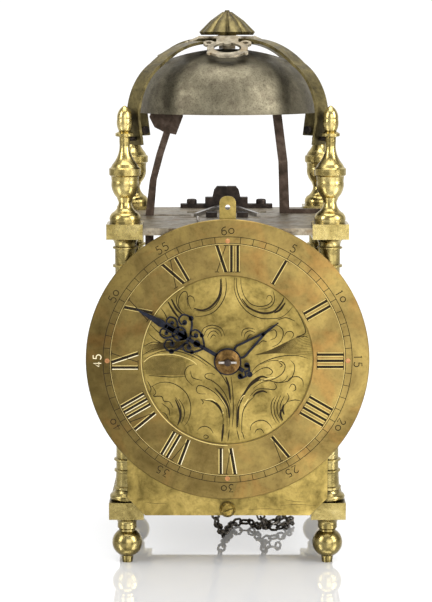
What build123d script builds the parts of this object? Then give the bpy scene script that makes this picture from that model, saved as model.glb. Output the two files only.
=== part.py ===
from build123d import *
from math import atan2, cos, degrees, radians, sin, sqrt
import os

# Lantern clock. Millimetres, +Z up, the dial faces -Y, X runs to the right of the dial.
# The origin is on the floor at the centre of the clock's plan.

# ---- driving dimensions -------------------------------------------------------------
PILLAR_PITCH = 138.0        # between pillar axes, side to side and front to back
FOOT_HEIGHT = 32.3
PILLAR_HEIGHT = 202.5       # over both square blocks
LOWER_BLOCK = 23.7          # side of the square block at the foot of a pillar
LOWER_BLOCK_HEIGHT = 11.7
UPPER_BLOCK = 24.4
UPPER_BLOCK_HEIGHT = 10.2
SHAFT_RADIUS = 7.1
FINIAL_HEIGHT = 78.6
FINIAL_NECK_RADIUS = 3.6
SPIGOT_RADIUS = 3.0         # threaded ends of a pillar, inside foot and finial
SPIGOT_LENGTH = 8.0
SCREW_CLEARANCE = 0.1

PLATE_THICKNESS = 4.7
TOP_PLATE_UNDERSIDE = 227.5
BOTTOM_PLATE_UNDERSIDE = 37.4
PLATE_EDGE_CLEARANCE = 0.2  # between a plate's edge and the faces of the blocks
MIDDLE_SLOT_LENGTH = 75.0
REAR_SLOT_LENGTH, REAR_SLOT_WIDTH = 58.0, 12.0
HAMMER_SLOT_X = -45.0
HAMMER_SLOT_LENGTH, HAMMER_SLOT_WIDTH = 38.0, 8.0

DIAL_CENTRE_HEIGHT = 143.2
DIAL_PLATE_THICKNESS = 1.6
APRON_WIDTH = 136.0
APRON_BOTTOM = 36.0
APRON_CORNER = 12.0
TAB_WIDTH = 11.0
TAB_RISE = 15.3             # of the tab above the chapter ring
TAB_HOLE_RADIUS = 1.7
TAB_HOLE_DROP = 7.5         # hole centre below the top of the tab
RING_OUTER_RADIUS = 95.5
RING_INNER_RADIUS = 57.5
RING_THICKNESS = 2.0
RING_OVERHANG = 1.5         # of the ring beyond the dial plate
RIVET_CIRCLE_RADIUS = 81.0
RIVET_RADIUS = 1.6
RIVET_HEAD = 0.5
DIAL_SCREW_HEAD = 5.4
DIAL_SCREW_SHANK = 2.0

BELL_RIM_HEIGHT = 306.8
BELL_RADIUS = 64.0
BELL_HEIGHT = 44.0
BELL_WALL = 2.4
STRAP_WIDTH = 11.5
STRAP_THICKNESS = 2.0
STRAP_GAP = 7.5             # between a strap's foot and the finial's neck
STRAP_FOOT_HEIGHT = 287.0
STRAP_CROWN = 355.0         # middle of the lower strap where the two cross
CROWN_THICKNESS = 1.6
CROWN_HUB_RADIUS = 15.0
CROWN_BEND = 20.0           # where a lobe bends down, from the clock's axis
CROWN_SLOPE = 24.5          # of a lobe, in degrees
CROWN_NECK_WIDTH = 15.0
LOBE_LENGTH, LOBE_WIDTH = 25.0, 28.0    # pierced ring of a lobe
LOBE_OPENING_LENGTH, LOBE_OPENING_WIDTH = 15.6, 19.0
LOBE_START = 7.0            # from the bend to the ring
EAR_RADIUS, EAR_HOLE_RADIUS = 3.9, 1.9
EAR_X, EAR_REACH = 12.6, 11.0           # from the lobe's middle line and from the bend
BELL_STUD_RADIUS = 3.0
BELL_NUT_ACROSS = 9.0
CAP_RADIUS = 19.6
CAP_HEIGHT = 16.0
CAP_LOBES = 10
CAP_NECK_RADIUS = 6.5
CAP_NECK_HEIGHT = 0.8
CAP_TIP = 2.0
CAP_SECTIONS = ((0.93, 0.0), (1.0, 0.13), (0.60, 0.62), (0.17, 1.0))    # share of radius, of height
STRAP_STUD_RISE = 4.0       # above the strap's foot
STRAP_STUD_RADIUS = 1.3

BAR_THICKNESS = 4.0
BAR_WIDTH = 30.0
ARM_OVERHANG = 6.0          # of an arm beyond the arbor it carries
BAR_SPACING = 48.0          # front, middle and rear movement bars
ARM_HEIGHT = 10.0
TENON_GAP = 14.0            # between the two upper tenons of a bar
TENON_RISE = 3.6            # how far a tenon stands above the top plate
TENON_FIT = 0.15

PIVOT_RADIUS = 1.3
PIVOT_CLEARANCE = 0.06      # radial, of a pivot in its hole
ARBOR_RADIUS = 2.6
MIDDLE_ARBOR = 1.9
SLIM_ARBOR = 1.5            # where a pinion has six leaves
END_SHAKE = 0.3             # between an arbor's shoulder and a bar
ARBOR_SIDES = 12            # arbors, hubs and collets are filed up with twelve flats
WHEEL_THICKNESS = 1.8
WHEEL_RIM = 3.6             # from the root of the teeth to the crossings
SPOKE_WIDTH = 3.4
PINION_LENGTH = 4.6
TOOTH_ADDENDUM = 0.8        # in modules, as the three values below
TOOTH_DEDENDUM = 1.1
LEAF_ADDENDUM = 0.6
LEAF_DEDENDUM = 1.1
TOOTH_TIP_SHARE = 0.16      # share of the pitch that the metal takes
TOOTH_ROOT_SHARE = 0.42
LEAF_ROOT_SHARE = 0.36

GREAT_TEETH, SECOND_PINION, GREAT_MODULE = 60, 8, 1.0
SECOND_TEETH, ESCAPE_PINION, SECOND_MODULE = 56, 7, 0.9
ESCAPE_TEETH = 30
ESCAPE_RADIUS = 20.0
REPORT_TEETH = 24           # report wheel and minute wheel are alike
HOUR_TEETH, HOUR_PINION, HOUR_MODULE = 72, 6, 0.8
STRIKE_TEETH, HOOP_PINION, STRIKE_MODULE = 78, 6, 0.8
HOOP_TEETH, WARNING_PINION, HOOP_MODULE = 48, 6, 0.9
WARNING_TEETH, FLY_PINION, WARNING_MODULE = 40, 6, 0.8
COUNT_TEETH, COUNT_PINION, COUNT_MODULE = 48, 8, 1.1
HAMMER_PINS = 13
HAMMER_PIN_RADIUS = 0.9
HAMMER_PIN_CIRCLE = 28.4
HAMMER_PIN_LENGTH = 8.0
ESCAPE_TOOTH = 3.4
PALLET_RISE = 8.0           # of the pallet arbor above the escape wheel's tips
CRUTCH_LENGTH = 72.0
FLY_LENGTH, FLY_REACH = 18.0, 11.5
COUNT_RIM = 22.0
COUNT_BLOWS = 78            # in twelve hours
COUNT_STUD_RADIUS = 2.2

# depths along the arbors; the clock's own middle is at 0 and the dial is at negative depths
SPROCKET_REAR = -26.0
SPROCKET_WIDTH = 11.0
SECOND_REAR = -14.0
ESCAPE_REAR = -29.0
CRUTCH_REAR = 63.0
STRIKE_SPROCKET_REAR = 40.0
HOOP_REAR = 21.0
WARNING_REAR = 28.0
FLY_REAR = 24.0

STUD_RADIUS = 2.2           # fixed stud at the dial's centre
PIPE_WALL = 1.1
PIPE_CLEARANCE = 0.08
HAND_THICKNESS = 1.2
MINUTE_HAND_LENGTH = 70.0
MINUTE_HAND_ANGLE = 56.5    # degrees anticlockwise from twelve, seen from the front
HOUR_HAND_LENGTH = 46.0
HOUR_HAND_ANGLE = -51.9
HAND_GAP = 0.8
SCROLL_EYES = (             # out from the minute hand's spine, along it, radius
    (3.8, 21.5, 3.4), (7.2, 27.0, 3.2), (4.4, 32.0, 3.1), (7.0, 37.0, 3.0), (3.8, 41.0, 2.8),
)
PIN_RADIUS = 0.8
COLLET_RADIUS = 8.3
COLLET_HEIGHT = 2.6

HAMMER_X = -55.7
HAMMER_Y = 15.0
HAMMER_STEM_WIDTH = 6.0
HAMMER_STEM_THICKNESS = 3.0
LIFTING_X = 50.0
LOCKING_X = 38.5
HAMMER_TAIL = 27.0          # stem below the hammer's arbor
LIFTING_NOSE = ((22.0, 126.4), (19.6, 124.0))       # arm under the lifting pins: across, up
LIFTING_DETENT_REACH = 24.0
LIFTING_DETENT_HEIGHT = 168.0
LOCKING_NOSE = ((20.6, 102.6), (18.4, 99.4))        # arm over the count wheel: across, up
LOCKING_DETENT = ((24.0, 150.0), (18.6, 150.4), (18.6, 147.4), (21.6, 147.0))
HEAD_BASE = 290.0
HEAD_THICKNESS = 7.0
SPRING_GAP = 2.8            # between the hammer's stem and its spring
SPRING_BLADE, SPRING_WIDTH, SPRING_FOOT = 1.4, 8.0, 11.0
LEVER_THICKNESS = 2.0
STEADY_X = 38.5
STEADY_Y = 33.0
STEADY_TOP = 313.0
STEADY_THICKNESS = 5.0
COCK_DEPTH = 8.0
COCK_SCREW_X = 26.0
COCK_FOOT_HALF, COCK_STEP_HALF, COCK_HUMP_HALF = 34.5, 16.0, 9.7
COCK_FOOT_HEIGHT, COCK_STEP_HEIGHT, COCK_HEIGHT = 3.0, 8.0, 16.2

SPROCKET_CHAIN_RADIUS = 11.6
LINK_LENGTH = 8.6
LINK_WIDTH = 6.2
LINK_WIRE = 1.3
LINK_PLAY = 0.25            # slack between two links
CHAIN_LAY_HEIGHT = 3.3      # of the chain's middle line where it lies on the floor
CHAIN_HOLE_RADIUS = 5.6
CHAIN_SLANT = 1.0           # how far a strand leans on its way to its hole
CHAIN_RIGHT_X = 16.5

# ---- places worked out from them ----------------------------------------------------
HALF_BAR = BAR_THICKNESS / 2
FRONT_BAR_REAR = -BAR_SPACING + HALF_BAR
FRONT_BAR_FRONT = -BAR_SPACING - HALF_BAR
REAR_BAR_REAR = BAR_SPACING + HALF_BAR
REAR_BAR_FRONT = BAR_SPACING - HALF_BAR
MINUTE_WHEEL_REAR = FRONT_BAR_FRONT - 5.0
HOUR_WHEEL_REAR = MINUTE_WHEEL_REAR - 9.0
LIFTING_FRONT = FRONT_BAR_FRONT - 10.0
COUNT_REAR = REAR_BAR_REAR + 7.0
HALF_PITCH = PILLAR_PITCH / 2
BLOCK_FACE = HALF_PITCH + UPPER_BLOCK / 2
PILLAR_TOP = FOOT_HEIGHT + PILLAR_HEIGHT
UPPER_BLOCK_BOTTOM = PILLAR_TOP - UPPER_BLOCK_HEIGHT
PLATE_TOP = TOP_PLATE_UNDERSIDE + PLATE_THICKNESS
FLOOR_PLATE_TOP = BOTTOM_PLATE_UNDERSIDE + PLATE_THICKNESS
GREAT_HEIGHT = DIAL_CENTRE_HEIGHT - (HOUR_TEETH + HOUR_PINION) * HOUR_MODULE / 2
REPORT_MODULE = (DIAL_CENTRE_HEIGHT - GREAT_HEIGHT) / REPORT_TEETH

DIAL_FRONT = -BLOCK_FACE - DIAL_PLATE_THICKNESS
DIAL_PLATE_RADIUS = RING_OUTER_RADIUS - RING_OVERHANG
RING_FRONT = DIAL_FRONT - RING_THICKNESS
HOUR_HAND_REAR = RING_FRONT - HAND_GAP
MINUTE_HAND_REAR = HOUR_HAND_REAR - HAND_THICKNESS - HAND_GAP
COLLET_REAR = MINUTE_HAND_REAR - HAND_THICKNESS
COLLET_FRONT = COLLET_REAR - COLLET_HEIGHT
PIN_Y = COLLET_FRONT - PIN_RADIUS - 0.5
STUD_FRONT = COLLET_FRONT - 3.0
DIAL_SCREW_HEIGHT = DIAL_CENTRE_HEIGHT - RING_OUTER_RADIUS - DIAL_SCREW_HEAD - 2.0
TAB_TOP = DIAL_CENTRE_HEIGHT + RING_OUTER_RADIUS + TAB_RISE
CASE_Y = (-STUD_FRONT - BLOCK_FACE) / 2     # centres the whole clock on the origin

CANNON_RADIUS = STUD_RADIUS + PIPE_CLEARANCE + PIPE_WALL
HOUR_PIPE_BORE = CANNON_RADIUS + PIPE_CLEARANCE
HOUR_PIPE_RADIUS = HOUR_PIPE_BORE + PIPE_WALL
BELL_TOP = BELL_RIM_HEIGHT + BELL_HEIGHT
UPPER_STRAP_CROWN = STRAP_CROWN + STRAP_THICKNESS
CROWN_BASE = UPPER_STRAP_CROWN + STRAP_THICKNESS / 2
CAP_BASE = CROWN_BASE + CROWN_THICKNESS + CAP_NECK_HEIGHT
STRAP_REACH = HALF_PITCH * sqrt(2) - FINIAL_NECK_RADIUS - STRAP_GAP     # along the diagonal
STRAP_STUD_HEIGHT = STRAP_FOOT_HEIGHT + STRAP_STUD_RISE
SPRING_X = HAMMER_X - HAMMER_STEM_WIDTH / 2 - SPRING_GAP
STEADY_FOOT = HALF_PITCH - 1.0
CHAIN_Y = SPROCKET_REAR - SPROCKET_WIDTH / 2
CHAIN_HOLES = ((CHAIN_SLANT - SPROCKET_CHAIN_RADIUS, CHAIN_Y + CHAIN_SLANT),
               (CHAIN_RIGHT_X, CHAIN_Y + CHAIN_SLANT))
CORNERS = {
    "front_left": (-HALF_PITCH, -HALF_PITCH),
    "front_right": (HALF_PITCH, -HALF_PITCH),
    "back_left": (-HALF_PITCH, HALF_PITCH),
    "back_right": (HALF_PITCH, HALF_PITCH),
}


def facing_front(y, x=0.0, z=0.0, turn=0.0):
    """A plane across the clock at depth y, seen from the front: its own x is X, its own y is Z
    and its normal is -Y. It can be turned anticlockwise by so many degrees."""
    across = (cos(radians(turn)), 0, sin(radians(turn)))
    return Plane(origin=(x, CASE_Y + y, z), x_dir=across, z_dir=(0, -1, 0))


def level(z, x=0.0, y=0.0):
    """A level plane at height z."""
    return Plane(origin=(x, CASE_Y + y, z))


def save(piece, name):
    """Label a finished piece and write its STEP file."""
    piece.label = name
    export_step(piece, f"parts/{name}.step")


def arbor_place(x, z, distance, side):
    """The next arbor up: at this distance from (x, z), with its x at side."""
    return side, z + sqrt(distance**2 - (side - x) ** 2)


def centre_distance(wheel_teeth, pinion_leaves, module):
    return (wheel_teeth + pinion_leaves) * module / 2


def toothed_outline(teeth, module, addendum, dedendum, root_share, first):
    """Corners of a wheel with straight-sided teeth; the first tooth points at angle first."""
    pitch_radius = teeth * module / 2
    root = pitch_radius - dedendum * module
    tip = pitch_radius + addendum * module
    stations = (
        (root, -root_share / 2),
        (tip, -TOOTH_TIP_SHARE / 2),
        (tip, TOOTH_TIP_SHARE / 2),
        (root, root_share / 2),
    )
    corners = []
    for tooth in range(teeth):
        for radius, share in stations:
            angle = radians(first + (tooth + share) * 360 / teeth)
            corners.append((radius * cos(angle), radius * sin(angle)))
    return corners


def wheel_outline(teeth, module, first=0.0):
    return toothed_outline(teeth, module, TOOTH_ADDENDUM, TOOTH_DEDENDUM, TOOTH_ROOT_SHARE, first)


def pinion_outline(leaves, module, first=0.0):
    return toothed_outline(leaves, module, LEAF_ADDENDUM, LEAF_DEDENDUM, LEAF_ROOT_SHARE, first)


def crossing_outline(inner, outer, turn):
    """One opening between two spokes of a wheel, turned by so many degrees."""
    inner_turn = degrees(SPOKE_WIDTH / 2 / inner)
    outer_turn = degrees(SPOKE_WIDTH / 2 / outer)
    stations = (
        (inner, inner_turn),
        (outer, outer_turn),
        (outer, 45),
        (outer, 90 - outer_turn),
        (inner, 90 - inner_turn),
    )
    return [(r * cos(radians(a + turn)), r * sin(radians(a + turn))) for r, a in stations]


def add_crossed_wheel(outline, rim_inside, centre, rear, bore, hub=5.2, thickness=WHEEL_THICKNESS):
    """A wheel with four crossings on a twelve-sided seat, added to an open part."""
    x, z = centre
    with BuildSketch(facing_front(rear, x, z)) as blank:
        with BuildLine():
            Polyline(*outline, close=True)
        make_face()
        for quarter in range(4):
            with BuildLine():
                Polyline(*crossing_outline(hub, rim_inside, 90 * quarter), close=True)
            make_face(mode=Mode.SUBTRACT)
        if bore:
            RegularPolygon(bore, ARBOR_SIDES, mode=Mode.SUBTRACT)
    extrude(blank.sketch, amount=thickness)


def rim_inside(teeth, module):
    """Inner radius of a wheel's rim."""
    return teeth * module / 2 - TOOTH_DEDENDUM * module - WHEEL_RIM


def direction(start, end):
    """Angle of the line between two arbors."""
    return degrees(atan2(end[1] - start[1], end[0] - start[0]))


def add_bar(centre, rear, front, radius, sides=ARBOR_SIDES):
    """A twelve-sided length of arbor, inside an open part."""
    x, z = centre
    with BuildSketch(facing_front(rear, x, z)) as section:
        RegularPolygon(radius, sides)
    extrude(section.sketch, amount=rear - front)


def add_pinion(centre, rear, length, outline):
    """The leaves of a pinion, inside an open part."""
    x, z = centre
    with BuildSketch(facing_front(rear, x, z)) as leaves:
        with BuildLine():
            Polyline(*outline, close=True)
        make_face()
    extrude(leaves.sketch, amount=length)


def add_turning(x, y, stations, mode=Mode.ADD):
    """Turned metal about an upright axis, added to an open part. A station is
    (radius, height) or (radius, height, sagitta): the sagitta bows the stretch that leads to it."""
    with BuildSketch(facing_front(y, x)) as profile:
        with BuildLine():
            here = (0.0, stations[0][1])
            for radius, height, *bow in stations:
                there = (radius, height)
                if bow:
                    SagittaArc(here, there, -bow[0])
                else:
                    Line(here, there)
                here = there
            if here[0] > 0:
                Line(here, (0.0, here[1]))
            Line((0.0, here[1]), (0.0, stations[0][1]))
        make_face()
    revolve(profile.sketch, axis=Axis((x, CASE_Y + y, 0), (0, 0, 1)), mode=mode)


# ---- arbors -------------------------------------------------------------------------
great = (0.0, GREAT_HEIGHT)
dial_centre = (0.0, DIAL_CENTRE_HEIGHT)
second = arbor_place(*great, centre_distance(GREAT_TEETH, SECOND_PINION, GREAT_MODULE), 8.0)
escape = arbor_place(*second, centre_distance(SECOND_TEETH, ESCAPE_PINION, SECOND_MODULE), 0.0)
pallet = (0.0, escape[1] + ESCAPE_RADIUS + PALLET_RISE)
hoop = arbor_place(*great, centre_distance(STRIKE_TEETH, HOOP_PINION, STRIKE_MODULE), -6.0)
warning = arbor_place(*hoop, centre_distance(HOOP_TEETH, WARNING_PINION, HOOP_MODULE), 6.0)
fly = arbor_place(*warning, centre_distance(WARNING_TEETH, FLY_PINION, WARNING_MODULE), -4.0)
count = (0.0, GREAT_HEIGHT - centre_distance(COUNT_TEETH, COUNT_PINION, COUNT_MODULE))
hammer_arbor = (HAMMER_X, GREAT_HEIGHT)
lifting = (LIFTING_X, GREAT_HEIGHT)
locking = (LOCKING_X, GREAT_HEIGHT)


def build_frame():
    for corner, (x, y) in CORNERS.items():
        save(make_foot(x, y), f"foot_{corner}")
        save(make_pillar(x, y), f"pillar_{corner}")
        save(make_finial(x, y), f"finial_{corner}")


def make_foot(x, y):
    """Ball foot, screwed up on the pillar's lower spigot."""
    top = FOOT_HEIGHT
    with BuildPart() as foot:
        add_turning(x, y, [
            (3.6, 0.0), (4.2, 4.6), (5.7, top - 10.1, 5.4), (5.7, top - 8.9), (6.6, top - 7.9),
            (6.6, top - 5.7), (9.3, top - 1.0, -1.0), (9.3, top),
        ])
        with BuildSketch(level(top, x, y)):
            Circle(SPIGOT_RADIUS + SCREW_CLEARANCE)
        extrude(amount=-SPIGOT_LENGTH - 0.5, mode=Mode.SUBTRACT)
    return foot.part


def make_pillar(x, y):
    """Turned column with a square block and a threaded spigot at each end."""
    foot, head = FOOT_HEIGHT + LOWER_BLOCK_HEIGHT, UPPER_BLOCK_BOTTOM
    shaft = SHAFT_RADIUS
    with BuildPart() as pillar:
        add_turning(x, y, [
            (shaft + 3.2, foot), (shaft + 3.2, foot + 4.6, 1.5), (shaft + 2.0, foot + 5.6),
            (shaft + 0.8, foot + 7.6), (shaft + 2.0, foot + 8.0), (shaft + 2.0, foot + 9.6),
            (shaft + 0.8, foot + 10.2), (shaft + 0.3, foot + 19.6), (shaft + 1.5, foot + 20.2),
            (shaft + 1.5, foot + 21.4), (shaft + 0.2, foot + 22.0), (shaft + 0.2, foot + 27.4),
            (shaft + 1.7, foot + 27.9), (shaft + 1.7, foot + 28.9), (shaft + 0.1, foot + 29.5),
            (shaft - 0.1, head - 20.0), (shaft + 1.5, head - 19.4), (shaft + 1.5, head - 18.0),
            (shaft, head - 17.4), (shaft, head - 7.4), (shaft + 1.5, head - 6.9),
            (shaft + 1.5, head - 5.9), (shaft + 0.1, head - 5.4), (shaft + 3.2, head, -1.0),
        ])
        with BuildSketch(level(FOOT_HEIGHT, x, y)):
            Rectangle(LOWER_BLOCK, LOWER_BLOCK)
        extrude(amount=LOWER_BLOCK_HEIGHT)
        with BuildSketch(level(head, x, y)):
            Rectangle(UPPER_BLOCK, UPPER_BLOCK)
        extrude(amount=UPPER_BLOCK_HEIGHT)
        with BuildSketch(level(FOOT_HEIGHT - SPIGOT_LENGTH, x, y)):
            Circle(SPIGOT_RADIUS)
        extrude(amount=PILLAR_HEIGHT + 2 * SPIGOT_LENGTH)
    return pillar.part


def make_finial(x, y):
    """Turned urn finial, screwed down on the pillar's upper spigot."""
    base = PILLAR_TOP
    with BuildPart() as finial:
        add_turning(x, y, [
            (10.5, base), (10.5, base + 1.7), (8.6, base + 7.0, 0.8), (4.4, base + 14.0, -1.1),
            (5.6, base + 17.2), (9.0, base + 28.4, 1.4), (9.3, base + 31.4), (10.6, base + 32.4),
            (10.6, base + 36.6), (9.3, base + 37.6), (8.3, base + 39.6),
            (FINIAL_NECK_RADIUS, base + 54.6, -1.7),
            (FINIAL_NECK_RADIUS, base + 57.6), (6.2, base + 58.4), (6.2, base + 60.2), (3.8, base + 61.6),
            (5.0, base + 69.7, 0.7), (0.4, base + FINIAL_HEIGHT, 1.5),
        ])
        with BuildSketch(level(base, x, y)):
            Circle(SPIGOT_RADIUS + SCREW_CLEARANCE)
        extrude(amount=SPIGOT_LENGTH + 0.5, mode=Mode.SUBTRACT)
    return finial.part


def build_plates():
    """Top and bottom plates, notched round the pillar blocks and slotted for the bars."""
    span = 2 * (BLOCK_FACE - PLATE_EDGE_CLEARANCE)
    bars = (-BAR_SPACING, 0.0, BAR_SPACING)
    with BuildPart() as top_plate:
        with BuildSketch(level(TOP_PLATE_UNDERSIDE)):
            Rectangle(span, span)
            with Locations(*CORNERS.values()):
                Rectangle(UPPER_BLOCK, UPPER_BLOCK, mode=Mode.SUBTRACT)
            for y in bars:
                with Locations((0, y)):
                    Rectangle(BAR_WIDTH + 2 * TENON_FIT, BAR_THICKNESS + 2 * TENON_FIT,
                              mode=Mode.SUBTRACT)
            with Locations((0, 0)):
                Rectangle(MIDDLE_SLOT_LENGTH, BAR_THICKNESS + 2 * TENON_FIT, mode=Mode.SUBTRACT)
            with Locations((0, REAR_BAR_FRONT)):
                Rectangle(REAR_SLOT_LENGTH, REAR_SLOT_WIDTH, align=(Align.CENTER, Align.MAX),
                          mode=Mode.SUBTRACT)
            with Locations((HAMMER_SLOT_X, HAMMER_Y)):
                Rectangle(HAMMER_SLOT_LENGTH, HAMMER_SLOT_WIDTH, mode=Mode.SUBTRACT)
        extrude(amount=PLATE_THICKNESS)
    save(top_plate.part, "top_plate")

    inner = 2 * (HALF_PITCH + LOWER_BLOCK / 2 - PLATE_EDGE_CLEARANCE)
    with BuildPart() as bottom_plate:
        with BuildSketch(level(BOTTOM_PLATE_UNDERSIDE)):
            Rectangle(inner, inner)
            with Locations(*CORNERS.values()):
                Rectangle(LOWER_BLOCK, LOWER_BLOCK, mode=Mode.SUBTRACT)
            for y in bars:
                with Locations((0, y)):
                    Rectangle(TENON_GAP, BAR_THICKNESS + 2 * TENON_FIT, mode=Mode.SUBTRACT)
            with Locations(*CHAIN_HOLES):
                Circle(CHAIN_HOLE_RADIUS, mode=Mode.SUBTRACT)
        extrude(amount=PLATE_THICKNESS)
    save(bottom_plate.part, "bottom_plate")


def build_dial():
    """Dial plate with apron and tab, chapter ring, rivets and the apron's screw."""
    with BuildPart() as dial_plate:
        with BuildSketch(facing_front(-BLOCK_FACE)):
            with Locations((0, DIAL_CENTRE_HEIGHT)):
                Circle(DIAL_PLATE_RADIUS)
            with Locations((0, APRON_BOTTOM)):
                Rectangle(APRON_WIDTH, GREAT_HEIGHT - APRON_BOTTOM, align=(Align.CENTER, Align.MIN))
            with Locations((0, DIAL_CENTRE_HEIGHT)):
                Rectangle(TAB_WIDTH, TAB_TOP - DIAL_CENTRE_HEIGHT, align=(Align.CENTER, Align.MIN))
            for side in (-1, 1):
                with Locations((side * APRON_WIDTH / 2, APRON_BOTTOM)):
                    Rectangle(APRON_CORNER * sqrt(2), APRON_CORNER * sqrt(2), rotation=45,
                              mode=Mode.SUBTRACT)
            with Locations((0, TAB_TOP - TAB_HOLE_DROP)):
                Circle(TAB_HOLE_RADIUS, mode=Mode.SUBTRACT)
            with Locations((0, DIAL_CENTRE_HEIGHT)):
                Circle(HOUR_PIPE_RADIUS + 0.5, mode=Mode.SUBTRACT)
            with Locations((0, DIAL_SCREW_HEIGHT)):
                Circle(DIAL_SCREW_SHANK + 0.15, mode=Mode.SUBTRACT)
            with Locations((0, DIAL_CENTRE_HEIGHT)):
                with PolarLocations(RIVET_CIRCLE_RADIUS, 4):
                    Circle(RIVET_RADIUS, mode=Mode.SUBTRACT)
        extrude(amount=DIAL_PLATE_THICKNESS)
        tab_corners = dial_plate.edges().filter_by(Axis.Y).group_by(Axis.Z)[-1]
        fillet(tab_corners, TAB_WIDTH * 0.42)
    save(dial_plate.part, "dial_plate")

    with BuildPart() as chapter_ring:
        with BuildSketch(facing_front(DIAL_FRONT, 0, DIAL_CENTRE_HEIGHT)):
            Circle(RING_OUTER_RADIUS)
            Circle(RING_INNER_RADIUS, mode=Mode.SUBTRACT)
            with PolarLocations(RIVET_CIRCLE_RADIUS, 4):
                Circle(RIVET_RADIUS, mode=Mode.SUBTRACT)
        extrude(amount=RING_THICKNESS)
        chamfer(chapter_ring.faces().sort_by(Axis.Y)[0].edges().filter_by(
            lambda edge: edge.radius > RING_INNER_RADIUS - 1), 0.5)
    save(chapter_ring.part, "chapter_ring")

    with BuildPart() as ring_rivets:
        with BuildSketch(facing_front(-BLOCK_FACE, 0, DIAL_CENTRE_HEIGHT)):
            with PolarLocations(RIVET_CIRCLE_RADIUS, 4):
                Circle(RIVET_RADIUS)
        extrude(amount=DIAL_PLATE_THICKNESS + RING_THICKNESS + RIVET_HEAD)
    save(ring_rivets.part, "ring_rivets")

    with BuildPart() as dial_screw:
        with BuildSketch(facing_front(DIAL_FRONT, 0, DIAL_SCREW_HEIGHT)):
            Circle(DIAL_SCREW_HEAD)
        extrude(amount=1.0)
        with BuildSketch(facing_front(DIAL_FRONT - 1.0, 0, DIAL_SCREW_HEIGHT)):
            Circle(DIAL_SCREW_HEAD)
        extrude(amount=2.0, taper=40)
        with BuildSketch(facing_front(DIAL_FRONT - 2.2, 0, DIAL_SCREW_HEIGHT)):
            Rectangle(2.4 * DIAL_SCREW_HEAD, 1.0, rotation=20)
        extrude(amount=2.0, mode=Mode.SUBTRACT)
        with BuildSketch(facing_front(DIAL_FRONT, 0, DIAL_SCREW_HEIGHT)):
            Circle(DIAL_SCREW_SHANK)
        extrude(amount=-DIAL_PLATE_THICKNESS - 0.2)
    save(dial_screw.part, "dial_screw")


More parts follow.
